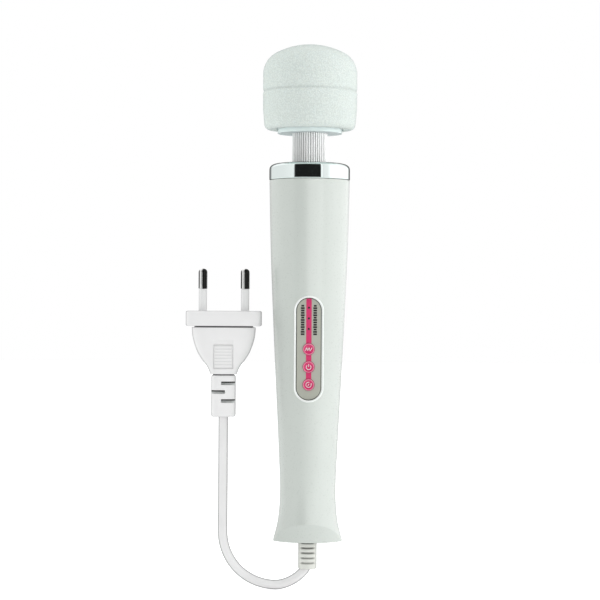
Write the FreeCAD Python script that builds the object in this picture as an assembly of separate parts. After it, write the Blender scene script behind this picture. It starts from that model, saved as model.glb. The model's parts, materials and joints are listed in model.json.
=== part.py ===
import FreeCAD, Part
import math
import os

# Corded handheld wand massager with a two-pin Europlug.
# Millimetres. +Z runs up the wand's axis from the heel to the head and -Y is the front, with the buttons.
# The origin is on the axis at the handle's waist, where the hand closes round it.
# The cord leaves the heel and loops up on the -X side, with its plug pointing up.

V = FreeCAD.Vector
X_AXIS = V(1, 0, 0)
Y_AXIS = V(0, 1, 0)
Z_AXIS = V(0, 0, 1)
GAP = 0.05                      # clearance between pieces that are held against each other
REACH = 30.0                    # how far a cutting block reaches, past everything near the wand's axis

# Handle casing
HEEL_Z = -21.0
HANDLE_TOP_Z = 141.0
HANDLE_SIDE = [(15.6, HEEL_Z), (13.4, -11.8), (12.5, 0.0), (13.0, 17.0),
               (15.1, 59.0), (17.2, 107.0), (18.05, HANDLE_TOP_Z)]
WALL = 2.0
FLOOR_Z = -18.5                 # inside face of the heel
SPIGOT_R = 16.7                 # the casing's neck, which the collar snaps over
SPIGOT_TOP_Z = 146.5
LEDGE_Z = 136.5
LEDGE_R = 12.6
NECK_SEAT_R = 14.55
SEAM_WIDTH = 0.2
SEAM_DEPTH = 0.25
HEEL_CUT_R = 20.0               # the two bevels that flatten the heel to a lens
HEEL_CUT_Y = 11.6
HEEL_CUT_TILT = 22.0
CORD_HOLE_R = 4.2
MOTOR_RING_Z = (103.5, 125.5)   # two rings in the casing that hold the motor's rubber sleeve
MOTOR_RING_HEIGHT = 1.5
MOTOR_SHELF_Z = (98.3, 99.9)
MOTOR_SHELF_R = 11.0

# Screws that join the casing halves, put in from the back
CASE_SCREW_Z = (-4.0, 37.5, 93.5)
CASE_BOSS_R = 3.0
CASE_BOSS_INSET = 0.6
CASE_SHANK_R = 1.25
CASE_HEAD_R = 2.2
CASE_HEAD_HEIGHT = 1.4
CASE_SCREW_TIP_Y = -6.0
CASE_SCREW_SKIN = 3.5           # what is left of the front half ahead of a screw
CASE_RECESS_R = 2.5
CASE_RECESS_DEPTH = 3.4
CASE_PLUG_DEPTH = 1.4

# Control panel, modelled flat with its face at y = 0 and its centre at the origin, then set into the casing
PANEL_Z = 65.5
PANEL_Y = -14.1
PANEL_TILT = math.degrees(math.atan(2.02 / 45.0))
PANEL_R = 5.35
PANEL_HALF = 22.5
FLANGE_GROW = 1.25
FLANGE_Y = 1.35
PANEL_BACK_Y = 2.35
LEDGE_Y = 0.9
SURROUND_GROW = 3.0             # the thickened frame round the panel's opening
SURROUND_DEPTH = 3.3
OVERLAY = 0.2
BUTTON_R = 2.6
BUTTON_HOLE_R = 2.7
BUTTON_PITCH = 7.9
BUTTON_Z = {"wave_button": 0.0, "power_button": -BUTTON_PITCH, "speed_button": -2 * BUTTON_PITCH}
BUTTON_FRONT_Y = -0.75
BUTTON_DISH_R = 9.0
BUTTON_DISH_DEPTH = 0.2
BUTTON_FLANGE_R = 3.2
BUTTON_STEM_R = 1.6
LIGHT_Z = (18.3, 13.6, 8.9)
BOARD_Y = 6.7
BOARD_THICK = 1.6
BOARD_SCREW_Z = (-20.9, 21.2)
LIGHT_R = 0.5

# Small screws that hold both boards
SMALL_HEAD_R = 1.9
SMALL_HEAD_HEIGHT = 1.3
SMALL_SHANK_R = 0.95
SMALL_PILOT_R = 1.0
SMALL_CLEARANCE_R = 1.05

# Power board, which stands upright in the lower handle
POWER_Y = (2.6, 4.2)
POWER_SCREW_X = 5.6
POWER_SCREW_Z = 3.3

# Motor
CAN_R = 12.2
CAN_WALL = 0.8
CAN_Z = (100.0, 130.0)
SHAFT_R = 1.15
ARMATURE_R = 9.0
ARMATURE_Z = (107.0, 121.0)
POLES = 5
MAGNET_R = (9.4, 11.35)
MAGNET_Z = (105.0, 123.0)
MAGNET_HALF_GAP = 4.0
DAMPER_R = 14.1
DAMPER_Z = (103.0, 128.0)
BUSH_R = 2.5
COMMUTATOR_R = 2.4
SHAFT_Z = (98.6, 137.5)

# Flexible neck
COLLAR_R = 18.15
COLLAR_TOP_Z = 148.4
COLLAR_SHOULDER = ((COLLAR_R, 145.6), (16.9, 147.7), (14.2, COLLAR_TOP_Z))
COLLAR_HOLE_R = 8.6
NECK_MOUNT_Z = (138.5, 143.5)
NECK_SCREW_RING_R = 12.4
CLAMP_TOP_Z = 145.95
SHAFT_HOLE_R = 4.2
SLEEVE_R = 7.95
SLEEVE_BORE_R = 6.5
SLEEVE_TOP_Z = 165.9
SLEEVE_FOOT = (10.5, 145.3)     # radius and top of the flange trapped in the handle
SLEEVE_HEAD = (9.9, 164.1)      # radius and underside of the flange trapped in the head
FLANGE_SCREW_HEAD_R = 1.5
FLANGE_SCREW_SHANK_R = 0.8
NECK_SPRING = {"mean": 5.4, "wire": 0.65, "low": 144.25, "high": 165.2, "pitch": 2.3}
DRIVE_SPRING = {"mean": 2.4, "wire": 0.45, "low": 140.1, "high": 167.9, "pitch": 1.5}
DRIVE_NOSE_R = 1.9
DRIVE_HUB_R = 3.4
MOTOR_HUB_Z = {"body": (132.8, 139.5), "bore": (132.0, 137.6), "nose": (139.0, 145.0)}
HEAD_HUB_Z = {"body": (168.4, 173.6), "bore": (169.5, 174.0), "nose": (163.0, 169.0)}

# Head
HEAD_R = 21.2
HEAD_FOOT_R = 20.3
HEAD_FOOT_FILLET = 2.6
HEAD_FLARE_Z = 173.0            # where the flared foot meets the straight band
HEAD_BASE_Z = 163.7
HEAD_APEX_Z = 202.0
SHOULDER_R = 10.5
CROWN_R = 33.0
COVER_THICK = 2.3
DISC_R = 14.5
DISC_Z = 162.0
CORE_SPLIT_Z = 181.0
CORE_WALL = 2.2
CORE_FLOOR_Z = 168.0
BRIDGE_Z = 170.0
BRIDGE_SCREW_RING_R = 13.2
BEARING_R = (2.02, 3.2, 4.9, 6.0)
BEARING_HEIGHT = 4.0
BEARING_LOW_Z = (174.0, 190.0)
BALL_R = 0.95
BALLS = 7
ECCENTRIC_SHAFT_R = 2.0
ECCENTRIC_SHAFT_Z = (169.6, 195.0)
WEIGHT_R = 13.0
WEIGHT_Z = (179.0, 189.5)
WEIGHT_HUB_R = 4.5

# Mains cord and plug
CABLE_R = 2.1
CABLE_CORE_R = 1.95             # the inner conductors' bundle, where the jacket is stripped
WIRE_R = 0.65
BOOT_LENGTH = 12.5
BOOT_GROOVES = {"count": 5, "first": 1.7, "pitch": 2.1, "height": 0.9, "root_r": 3.0, "half_width": 2.7}
BOOT_R = (3.8, 4.1, 4.15)       # at the foot's edge, above its bevel and at the heel
BOOT_BEVEL = 0.3
BOOT_BARB_R = 5.6
JACKET_INSET = 1.0              # how far below the heel the jacket ends, inside the boot
CORD_STRAIGHT = 9.5             # how far below the heel the cord starts to bend
CORD_TURN_PULL = (4.5, 6.5)     # how far the soft turn runs on straight at each of its ends
PLUG_X = -38.2
CABLE_LOW = (-14.3, -40.9)      # the lowest point of the loop, in X and Z
CABLE_LOOP_R = CABLE_LOW[0] - PLUG_X
CABLE_END_Z = 46.0
PLUG_BOOT_Z = (34.6, 53.2)
PLUG_BODY_Z = 75.3
PLUG_FACE_Z = 82.05
PLUG_BOOT_SIZE = (11.0, 9.0)
PLUG_BOOT_CORNER = 2.6
PLUG_BOOT_SLOTS = ((1, 41.0), (-1, 45.0), (1, 48.9))
PLUG_SLOT_HEIGHT = 1.5
PLUG_SLOT_OVERLAP = 1.2         # how far a slot runs past the boot's middle
PLUG_SLOT_CORE_R = 3.0          # what the slots leave round the cord
PLUG_BRIDGE_SIZE = (34.0, 13.7)
PLUG_BRIDGE_CORNER = 4.2
PLUG_RIBS = {"count": 8, "first": 56.4, "pitch": 1.65, "height": 0.8, "half_width": 4.6, "proud": 0.35}
PLUG_SECTIONS = [(11.6, 9.4, 53.2), (15.1, 10.4, 57.2), (19.9, 11.2, 60.4), (24.0, 11.8, 64.0),
                 (27.8, 12.4, 70.0), (28.8, 12.6, 75.3)]
PLUG_BELL_CORNER = 0.36         # corner radius as a share of a section's depth
PLUG_WIRE_X = 1.1
PLUG_WIRE_Z = (55.0, 69.0, 74.9)
PIN_PITCH = 19.0
PIN_R = 2.0
PIN_CORE_R = 1.5
SLEEVED_R = 1.83                # the insulating sleeve, which is thinner than the bare tip
SLEEVED_LOW_Z = 80.05
TERMINAL_R = 1.4
PIN_TIP = 9.0
PIN_LENGTH = 19.0


def keep(name, shape):
    """Write one node, which may hold several separate solids."""
    shape.exportStep(f"parts/{name}.step")


def rod(radius, low, high, x=0.0, y=0.0):
    return Part.makeCylinder(radius, high - low, V(x, y, low))


def tube(outer, inner, low, high):
    return rod(outer, low, high).cut(rod(inner, low, high))


def box(x, y, z):
    """A box between the two values of each axis."""
    return Part.makeBox(x[1] - x[0], y[1] - y[0], z[1] - z[0], V(x[0], y[0], z[0]))


def spin(points):
    """A solid of revolution about Z from a closed (radius, z) polygon."""
    wire = Part.makePolygon([V(r, 0, z) for r, z in points + points[:1]])
    return Part.Face(wire).revolve(V(0, 0, 0), Z_AXIS, 360)


def spin_edges(edges):
    return Part.Face(Part.Wire(edges)).revolve(V(0, 0, 0), Z_AXIS, 360)


def line(start, end):
    return Part.makeLine(V(start[0], 0, start[1]), V(end[0], 0, end[1]))


def arc(start, middle, end):
    return Part.Arc(*[V(r, 0, z) for r, z in (start, middle, end)]).toShape()


def curve(points):
    spline = Part.BSplineCurve()
    spline.interpolate([V(r, 0, z) for r, z in points])
    return spline.toShape()


def around_z(shape, angle):
    turned = shape.copy()
    turned.rotate(V(0, 0, 0), Z_AXIS, angle)
    return turned


def ring_of(shape, count, first=0.0):
    """Separate copies of a shape, evenly spaced about Z."""
    return Part.makeCompound([around_z(shape, first + 360.0 * i / count) for i in range(count)])


def both_sides(make):
    """A compound of make(-1) and make(1)."""
    return Part.makeCompound([make(-1), make(1)])


def pipe(path, radius):
    """A round bar along a wire."""
    start = path.Edges[0].valueAt(path.Edges[0].FirstParameter)
    tangent = path.Edges[0].tangentAt(path.Edges[0].FirstParameter)
    section = Part.Wire(Part.makeCircle(radius, start, tangent))
    return path.makePipeShell([section], True, True)


def bent_rod(points, radius):
    """A round bar through 3-D points, with a ball at each bend."""
    corners = [V(*p) for p in points]
    bar = None
    for start, end in zip(corners, corners[1:]):
        stretch = Part.makeCylinder(radius, (end - start).Length, start, end - start)
        bar = stretch if bar is None else bar.fuse(Part.makeSphere(radius, start)).fuse(stretch)
    return bar


def coil(spec):
    """A round-wire compression spring about Z."""
    height = spec["high"] - spec["low"]
    helix = Part.makeHelix(spec["pitch"], height, spec["mean"])
    section = Part.Wire(Part.makeCircle(spec["wire"], V(spec["mean"], 0, 0), Y_AXIS))
    spring = Part.Wire(helix).makePipeShell([section], True, True)
    spring.translate(V(0, 0, spec["low"]))
    return spring


def stadium(radius, half, low, high):
    """A bar along Y whose section in XZ is a slot shape of half-length half."""
    straight = half - radius
    right = Part.makeLine(V(radius, low, -straight), V(radius, low, straight))
    top = Part.Arc(V(radius, low, straight), V(0, low, half), V(-radius, low, straight)).toShape()
    left = Part.makeLine(V(-radius, low, straight), V(-radius, low, -straight))
    bottom = Part.Arc(V(-radius, low, -straight), V(0, low, -half), V(radius, low, -straight)).toShape()
    return Part.Face(Part.Wire([right, top, left, bottom])).extrude(V(0, high - low, 0))


def across(radius, low, high, x=0.0, z=0.0):
    """A cylinder along +Y."""
    return Part.makeCylinder(radius, high - low, V(x, low, z), Y_AXIS)


def upright_edges(shape):
    return [e for e in shape.Edges if abs(e.tangentAt(0).z) > 0.9]


def rounded_bar(width, depth, radius, z):
    """The closed outline of a rounded rectangle at height z, centred on the Z axis."""
    block = Part.makeBox(width, depth, 1, V(-width / 2, -depth / 2, z))
    filleted = block.makeFillet(radius, upright_edges(block))
    foot = min(filleted.Faces, key=lambda f: f.CenterOfMass.z)
    return foot.OuterWire


def side_radius(z):
    """The casing's outer radius at a height."""
    rows = sorted(HANDLE_SIDE, key=lambda p: p[1])
    for (r0, z0), (r1, z1) in zip(rows, rows[1:]):
        if z0 <= z <= z1:
            return r0 + (r1 - r0) * (z - z0) / (z1 - z0)
    return rows[-1][0]


def set_panel(shape):
    """Move a panel piece from its flat drawing to its place in the casing."""
    placed = shape.copy()
    placed.rotate(V(0, 0, 0), X_AXIS, PANEL_TILT)
    placed.translate(V(0, PANEL_Y, PANEL_Z))
    return placed


def set_plug(shape):
    placed = shape.copy()
    placed.translate(V(PLUG_X, 0, 0))
    return placed


# ---------------------------------------------------------------- casing

def casing_outside():
    """The handle's outer form: a flared bar whose heel is cut by a leaning round bevel at front and back."""
    top = [(SPIGOT_R, HANDLE_TOP_Z), (SPIGOT_R, SPIGOT_TOP_Z), (0, SPIGOT_TOP_Z)]
    edges = [line((0, HEEL_Z), HANDLE_SIDE[0]), curve(HANDLE_SIDE)]
    corners = [HANDLE_SIDE[-1]] + top + [(0, HEEL_Z)]
    edges += [line(a, b) for a, b in zip(corners, corners[1:])]
    body = spin_edges(edges)
    for side in (-1, 1):
        bar = rod(HEEL_CUT_R, -2 * REACH, 2 * REACH)
        bar.rotate(V(0, 0, 0), X_AXIS, -side * HEEL_CUT_TILT)
        bar.translate(V(0, -side * HEEL_CUT_Y, HEEL_Z))
        block = box((-REACH, REACH), sorted((0, side * REACH)), (HEEL_Z - 1, 0))
        body = body.cut(block.cut(bar))
    return body


def casing_inside():
    """The hollow: the wall's inner face, the ledge under the neck mount and the seat above it."""
    inner = [(r - WALL, z) for r, z in HANDLE_SIDE[2:-1]]
    side = [(9.2, FLOOR_Z), (10.3, -11.8)] + inner + [(15.95, LEDGE_Z)]
    corners = [side[-1], (LEDGE_R, LEDGE_Z), (LEDGE_R, NECK_MOUNT_Z[0]), (NECK_SEAT_R, NECK_MOUNT_Z[0]),
               (NECK_SEAT_R, SPIGOT_TOP_Z + 1), (0, SPIGOT_TOP_Z + 1), (0, FLOOR_Z)]
    edges = [line((0, FLOOR_Z), side[0]), curve(side)]
    edges += [line(a, b) for a, b in zip(corners, corners[1:])]
    return spin_edges(edges)


def wall_ring(inner, low, high):
    """A ring inside the casing that ends halfway through its wall."""
    return tube(side_radius(low) - WALL / 2, inner, low, high)


def casing_ribs(outside):
    """Rings that hold the motor's rubber sleeve, the shelf under the motor and the panel's surround."""
    rings = [wall_ring(DAMPER_R + GAP, z, z + MOTOR_RING_HEIGHT) for z in MOTOR_RING_Z]
    shelf = wall_ring(MOTOR_SHELF_R, *MOTOR_SHELF_Z)
    surround = stadium(PANEL_R + SURROUND_GROW, PANEL_HALF + SURROUND_GROW, -SURROUND_DEPTH, SURROUND_DEPTH)
    return rings + [shelf, set_panel(surround).common(outside)]


def seam(outside):
    """The fine groove left round the joint of the two halves."""
    slab = box((-REACH, REACH), (-SEAM_WIDTH / 2, SEAM_WIDTH / 2), (HEEL_Z - 1, HANDLE_TOP_Z - 0.5))
    inset = [(r - SEAM_DEPTH, z) for r, z in HANDLE_SIDE]
    inset[0] = (inset[0][0], HEEL_Z + SEAM_DEPTH)
    core = spin_edges([line((0, inset[0][1]), inset[0]), curve(inset),
                       line(inset[-1], (0, inset[-1][1])), line((0, inset[-1][1]), (0, inset[0][1]))])
    return slab.cut(core)


def casing_halves():
    outside = casing_outside()
    shell = outside.cut(casing_inside()).cut(rod(CORD_HOLE_R, HEEL_Z - 1, FLOOR_Z + 1))
    for rib in casing_ribs(outside):
        shell = shell.fuse(rib)
    for z in CASE_SCREW_Z:
        reach = side_radius(z) - CASE_BOSS_INSET
        boss = across(CASE_BOSS_R, -reach, reach, 0, z)
        shell = shell.fuse(boss.common(outside))
    shell = shell.cut(set_panel(stadium(PANEL_R + 0.1, PANEL_HALF + 0.1, -6.0, LEDGE_Y + 1)))
    pocket = stadium(PANEL_R + FLANGE_GROW + 0.1, PANEL_HALF + FLANGE_GROW + 0.1, LEDGE_Y, 6.0)
    shell = shell.cut(set_panel(pocket)).cut(seam(outside))
    heights = (HEEL_Z - 1, SPIGOT_TOP_Z + 1)
    front = shell.common(box((-REACH, REACH), (-REACH, 0), heights))
    rear = shell.common(box((-REACH, REACH), (0, REACH), heights))
    for z in CASE_SCREW_Z:
        front = front.cut(across(CASE_SHANK_R + GAP, -side_radius(z) + CASE_SCREW_SKIN, 1, 0, z))
        rear = rear.cut(across(CASE_SHANK_R + GAP, -1, REACH, 0, z))
        rear = rear.cut(across(CASE_RECESS_R, side_radius(z) - CASE_RECESS_DEPTH, REACH, 0, z))
    rear = rear.fuse(power_board_bosses(outside))
    return front.removeSplitter(), rear.removeSplitter(), outside


def case_screws():
    """Cross-head screws, with their heads at the bottom of the recesses."""
    long, short = 1.3, 0.25
    screws = []
    for z in CASE_SCREW_Z:
        seat = side_radius(z) - CASE_RECESS_DEPTH
        slot_depth = (seat + CASE_HEAD_HEIGHT / 2, seat + 2 * CASE_HEAD_HEIGHT)
        screw = across(CASE_HEAD_R, seat, seat + CASE_HEAD_HEIGHT, 0, z)
        screw = screw.fuse(across(CASE_SHANK_R, CASE_SCREW_TIP_Y, seat, 0, z))
        screw = screw.cut(box((-long, long), slot_depth, (z - short, z + short)))
        screws.append(screw.cut(box((-short, short), slot_depth, (z - long, z + long))))
    return Part.makeCompound(screws)


def screw_plugs(outside):
    """Soft plugs that close the screw recesses, trimmed flush with the casing."""
    plugs = []
    for z in CASE_SCREW_Z:
        blank = across(CASE_RECESS_R - GAP, side_radius(z) - CASE_PLUG_DEPTH, REACH, 0, z)
        plugs.append(blank.common(outside))
    return Part.makeCompound(plugs)


def chrome_collar():
    low = HANDLE_TOP_Z + GAP
    bore = SPIGOT_R + GAP
    roof = SPIGOT_TOP_Z + 0.5
    inner = [COLLAR_SHOULDER[-1], (COLLAR_HOLE_R, COLLAR_TOP_Z), (COLLAR_HOLE_R, roof), (bore, roof),
             (bore, low), (COLLAR_R, low), COLLAR_SHOULDER[0]]
    return spin_edges([arc(*COLLAR_SHOULDER)] + [line(a, b) for a, b in zip(inner, inner[1:])])


# ---------------------------------------------------------------- control panel

def control_panel():
    """The plate with its flange, posts for the board's screws and holes for the buttons and lights."""
    well_r = BUTTON_FLANGE_R + 0.15
    plate = stadium(PANEL_R, PANEL_HALF, 0.0, FLANGE_Y)
    plate = plate.fuse(stadium(PANEL_R + FLANGE_GROW, PANEL_HALF + FLANGE_GROW, FLANGE_Y, PANEL_BACK_Y))
    for z in BOARD_SCREW_Z:
        plate = plate.fuse(across(SMALL_HEAD_R, PANEL_BACK_Y, BOARD_Y, 0, z))
        plate = plate.cut(across(SMALL_PILOT_R, PANEL_BACK_Y + 0.65, BOARD_Y, 0, z))
    for z in BUTTON_Z.values():
        plate = plate.cut(across(BUTTON_HOLE_R, -1, 3, 0, z)).cut(across(well_r, 1.2, 3, 0, z))
    for z in LIGHT_Z:
        plate = plate.cut(across(LIGHT_R + GAP, -1, 3, 0, z))
    return plate.removeSplitter()


def panel_overlay():
    """The printed film on the panel's face."""
    film = stadium(PANEL_R - 0.05, PANEL_HALF - 0.05, -OVERLAY, 0.0)
    for z in BUTTON_Z.values():
        film = film.cut(across(BUTTON_HOLE_R, -1, 1, 0, z))
    for z in LIGHT_Z:
        film = film.cut(across(LIGHT_R + 2 * GAP, -1, 1, 0, z))
    return film


def panel_gasket():
    """The seal between the panel's flange and the casing's ledge."""
    grow = FLANGE_GROW - GAP
    outer = stadium(PANEL_R + grow, PANEL_HALF + grow, LEDGE_Y + GAP, FLANGE_Y - GAP)
    return outer.cut(stadium(PANEL_R + 3 * GAP, PANEL_HALF + 3 * GAP, 0, 2))


def button(z):
    """A dished cap, a retaining flange behind the panel and a stem that reaches into its switch."""
    flange_y = (1.3, 1.9)
    stem_end_y = 4.1
    cap = across(BUTTON_R, BUTTON_FRONT_Y, flange_y[0], 0, z)
    rim = [e for e in cap.Edges if abs(e.CenterOfMass.y - BUTTON_FRONT_Y) < 0.01]
    cap = cap.makeFillet(0.3, rim)
    dish = Part.makeSphere(BUTTON_DISH_R, V(0, BUTTON_FRONT_Y + BUTTON_DISH_DEPTH - BUTTON_DISH_R, z))
    flange = across(BUTTON_FLANGE_R, *flange_y, 0, z)
    stem = across(BUTTON_STEM_R, flange_y[1], stem_end_y, 0, z)
    return cap.cut(dish).fuse(flange).fuse(stem).removeSplitter()


def tact_switches():
    """Square switches with a round well that the button's stem reaches into."""
    half = 3.0
    front_y = 3.6
    well_y = 4.8
    switches = []
    for z in BUTTON_Z.values():
        body = box((-half, half), (front_y, BOARD_Y - GAP), (z - half, z + half))
        switches.append(body.cut(across(BUTTON_STEM_R + 0.2, front_y - 1, well_y, 0, z)))
    return Part.makeCompound(switches)


def light_guides():
    """Clear pegs that lead each lamp's light to the front, with a wider foot behind the panel."""
    foot_y = (2.4, 5.9)
    guides = []
    for z in LIGHT_Z:
        peg = across(LIGHT_R, -OVERLAY - 0.1, foot_y[0] + 0.1, 0, z)
        guides.append(peg.fuse(across(0.9, *foot_y, 0, z)))
    return Part.makeCompound(guides)


def control_board():
    half_width, ends = 6.0, (-23.0, 23.5)
    board = box((-half_width, half_width), (BOARD_Y, BOARD_Y + BOARD_THICK), ends)
    for z in BOARD_SCREW_Z:
        board = board.cut(across(SMALL_CLEARANCE_R, 0, REACH, 0, z))
    return board


def control_parts():
    """The microcontroller on the board's back and the three indicator lamps on its front."""
    back = BOARD_Y + BOARD_THICK + GAP
    chip_half, chip_height, chip_ends = 3.5, 1.4, (5.0, 13.0)
    lamp_wide, lamp_high, lamp_front_y = 0.8, 0.4, 6.0
    chip = box((-chip_half, chip_half), (back, back + chip_height), chip_ends)
    lamps = [box((-lamp_wide, lamp_wide), (lamp_front_y, BOARD_Y - GAP), (z - lamp_high, z + lamp_high))
             for z in LIGHT_Z]
    return chip, Part.makeCompound(lamps)


def panel_screws():
    back = BOARD_Y + BOARD_THICK + GAP
    tip_y = 3.6
    screws = []
    for z in BOARD_SCREW_Z:
        head = across(SMALL_HEAD_R, back, back + SMALL_HEAD_HEIGHT, 0, z)
        screws.append(set_panel(head.fuse(across(SMALL_SHANK_R, tip_y, back, 0, z))))
    return screws


# ---------------------------------------------------------------- power board

def power_board_bosses(outside):
    """Two bosses that carry the power board's lower end; they start behind the board."""
    bosses = []
    for x in (-POWER_SCREW_X, POWER_SCREW_X):
        boss = across(SMALL_HEAD_R - 0.1, POWER_Y[1] + GAP, 12, x, POWER_SCREW_Z).common(outside)
        bosses.append(boss.cut(across(SMALL_PILOT_R, 0, 8.0, x, POWER_SCREW_Z)))
    return bosses[0].fuse(bosses[1])


def power_board():
    half_width, ends = 8.0, (1.0, 33.0)
    board = box((-half_width, half_width), POWER_Y, ends)
    for x in (-POWER_SCREW_X, POWER_SCREW_X):
        board = board.cut(across(SMALL_CLEARANCE_R, 0, REACH, x, POWER_SCREW_Z))
    return board


def power_screws():
    face = POWER_Y[0] - GAP
    tip_y = 7.6
    screws = []
    for x in (-POWER_SCREW_X, POWER_SCREW_X):
        head = across(SMALL_HEAD_R, face - SMALL_HEAD_HEIGHT, face, x, POWER_SCREW_Z)
        screws.append(head.fuse(across(SMALL_SHANK_R, face, tip_y, x, POWER_SCREW_Z)))
    return screws


def power_parts():
    """Fuse, rectifier, smoothing capacitor and motor driver on the board's front face."""
    face = POWER_Y[0] - GAP
    fuse_x, fuse_y = -4.4, face - 1.9
    fuse = rod(1.5, 22.5, 29.5, fuse_x, fuse_y)
    for low in (20.5, 29.5):
        fuse = fuse.fuse(rod(1.8, low, low + 2.0, fuse_x, fuse_y))
    capacitor_r = 4.0
    capacitor = rod(capacitor_r, 7.0, 19.0, 0, face - capacitor_r)
    rectifier = box((0.5, 6.9), (face - 3.3, face), (20.6, 26.2))
    driver = box((0.8, 6.2), (face - 1.9, face), (27.6, 31.6))
    return fuse, capacitor, Part.makeCompound([rectifier, driver])


def supply_wire(side):
    """One insulated conductor from the end of the cord's jacket to the power board."""
    points = [(side * 1.1, 0, -21.6), (side * 1.1, 0, -14.0), (side * 4.0, 0, -7.0), (side * 4.0, 0, -2.0),
              (side * 1.5, 1.85, 2.5), (side * 1.5, 1.85, 5.0)]
    return bent_rod(points, WIRE_R)


def motor_lead(side):
    """A wire from the power board up past the control board to a motor terminal."""
    points = [(side * 7.2, 1.9, 31.0), (side * 7.2, 1.9, 34.0), (side * 7.6, 3.2, 42.0),
              (side * 7.6, 3.2, 84.0), (side * 7.0, 0.9, 91.0), (side * 7.0, 0.9, 97.0)]
    return bent_rod(points, 0.6)


def board_link():
    """The flat ribbon from the power board up to the control board's back."""
    path = [(1.7, 31.8), (1.7, 34.5), (-3.9, 41.5), (-3.9, 45.5)]
    thick = 0.7
    outline = path + [(y - thick, z) for y, z in reversed(path)]
    points = [V(6.3, y, z) for y, z in outline]
    return Part.Face(Part.makePolygon(points + points[:1])).extrude(V(-3.0, 0, 0))


# ---------------------------------------------------------------- motor

def motor_can():
    """A drawn steel can with a raised seat for the upper bush."""
    inner = CAN_R - CAN_WALL
    seat, nose, nose_z = BUSH_R + GAP, 3.3, 132.0
    return spin([(inner, CAN_Z[0]), (CAN_R, CAN_Z[0]), (CAN_R, CAN_Z[1]), (nose, CAN_Z[1]), (nose, nose_z),
                 (seat, nose_z), (seat, CAN_Z[1] - CAN_WALL), (inner, CAN_Z[1] - CAN_WALL)])


def motor_end_cap():
    """The moulded cap that closes the can and seats the lower bush."""
    rim = CAN_R - CAN_WALL - GAP
    seat, nose = BUSH_R + GAP, 3.2
    low, high = 98.4, 102.4
    return spin([(seat, low), (nose, low), (nose, CAN_Z[0]), (rim, CAN_Z[0]), (rim, high), (seat, high)])


def motor_bushes():
    return Part.makeCompound([tube(BUSH_R, SHAFT_R + 0.03, low, low + 3.0) for low in (98.9, 128.6)])


def motor_magnets():
    """Two arc magnets, left and right of the armature."""
    ring = tube(MAGNET_R[1], MAGNET_R[0], *MAGNET_Z)
    return ring.cut(box((-REACH, REACH), (-MAGNET_HALF_GAP, MAGNET_HALF_GAP), CAN_Z))


def armature():
    """A five-slot laminated core with its windings in the slots and round both ends."""
    low, high = ARMATURE_Z
    slot_x, slot_r, wire_r = 6.3, 1.4, 1.2
    ends_r, ends_bore, ends_height = 8.4, 2.6, 2.4
    slot = rod(slot_r, low, high, slot_x).fuse(box((slot_x, ARMATURE_R + 1), (-0.5, 0.5), (low, high)))
    core = rod(ARMATURE_R, low, high).cut(rod(SHAFT_R + 0.02, low, high)).cut(ring_of(slot, POLES))
    wire = tube(ends_r, ends_bore, low - ends_height, low - GAP)
    wire = wire.fuse(tube(ends_r, ends_bore, high + GAP, high + ends_height))
    for i in range(POLES):
        wire = wire.fuse(around_z(rod(wire_r, low - 1, high + 1, slot_x), 360.0 * i / POLES))
    return core, wire


def commutator():
    """A copper ring split into one bar per pole."""
    low, high = 102.7, 104.5
    split = box((COMMUTATOR_R - 0.5, COMMUTATOR_R + 1), (-0.15, 0.15), (low - 1, high + 1))
    return tube(COMMUTATOR_R, SHAFT_R + 0.02, low, high).cut(ring_of(split, POLES, 180 / POLES))


def brush_gear(side):
    """One carbon brush beside the commutator, and the terminal tab outside the end cap."""
    brush = box(sorted((side * (COMMUTATOR_R + GAP), side * 6.0)), (-0.8, 0.8), (102.8, 104.2))
    tab = box(sorted((side * 5.9, side * 8.1)), (-0.25, 0.25), (95.6, CAN_Z[0] - GAP))
    return Part.makeCompound([brush, tab])


def drive_hub(spans, shaft_r):
    """A coupling hub with a nose that the drive spring grips."""
    hub = rod(DRIVE_HUB_R, *spans["body"]).fuse(rod(DRIVE_NOSE_R, *spans["nose"]))
    return hub.cut(rod(shaft_r + 0.02, *spans["bore"]))


# ---------------------------------------------------------------- neck

def neck_screw_holes(radius, low, high):
    return ring_of(rod(radius, low, high, 0, NECK_SCREW_RING_R), 3)


def neck_mount():
    """The plate on the casing's ledge that carries the sleeve."""
    low, high = NECK_MOUNT_Z
    plate = tube(NECK_SEAT_R - GAP, SHAFT_HOLE_R, low, high)
    return plate.cut(neck_screw_holes(FLANGE_SCREW_SHANK_R + GAP, low + 1.0, high + 1))


def neck_clamp_ring():
    """A stepped ring that holds the sleeve's flange down."""
    low, high = NECK_MOUNT_Z[1] + GAP, CLAMP_TOP_Z
    step = SLEEVE_FOOT[1] + 0.1
    inner, lip, outer = SLEEVE_FOOT[0] + 0.1, SLEEVE_R + 0.25, NECK_SEAT_R - 0.25
    ring = spin([(inner, low), (outer, low), (outer, high), (lip, high), (lip, step), (inner, step)])
    return ring.cut(neck_screw_holes(FLANGE_SCREW_SHANK_R + 2 * GAP, low - 1, high + 1))


def neck_screws():
    head = rod(FLANGE_SCREW_HEAD_R, CLAMP_TOP_Z + GAP, CLAMP_TOP_Z + 0.95, 0, NECK_SCREW_RING_R)
    shank = rod(FLANGE_SCREW_SHANK_R, NECK_MOUNT_Z[0] + 1.5, CLAMP_TOP_Z + 0.5, 0, NECK_SCREW_RING_R)
    return ring_of(head.fuse(shank), 3)


def neck_sleeve():
    """The flexible sleeve with a flange at each end."""
    low = NECK_MOUNT_Z[1] + GAP
    foot_r, foot_z = SLEEVE_FOOT
    head_r, head_z = SLEEVE_HEAD
    return spin([(SLEEVE_BORE_R, low), (foot_r, low), (foot_r, foot_z), (SLEEVE_R, foot_z),
                 (SLEEVE_R, head_z), (head_r, head_z), (head_r, SLEEVE_TOP_Z), (SLEEVE_BORE_R, SLEEVE_TOP_Z)])


# ---------------------------------------------------------------- head

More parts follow.
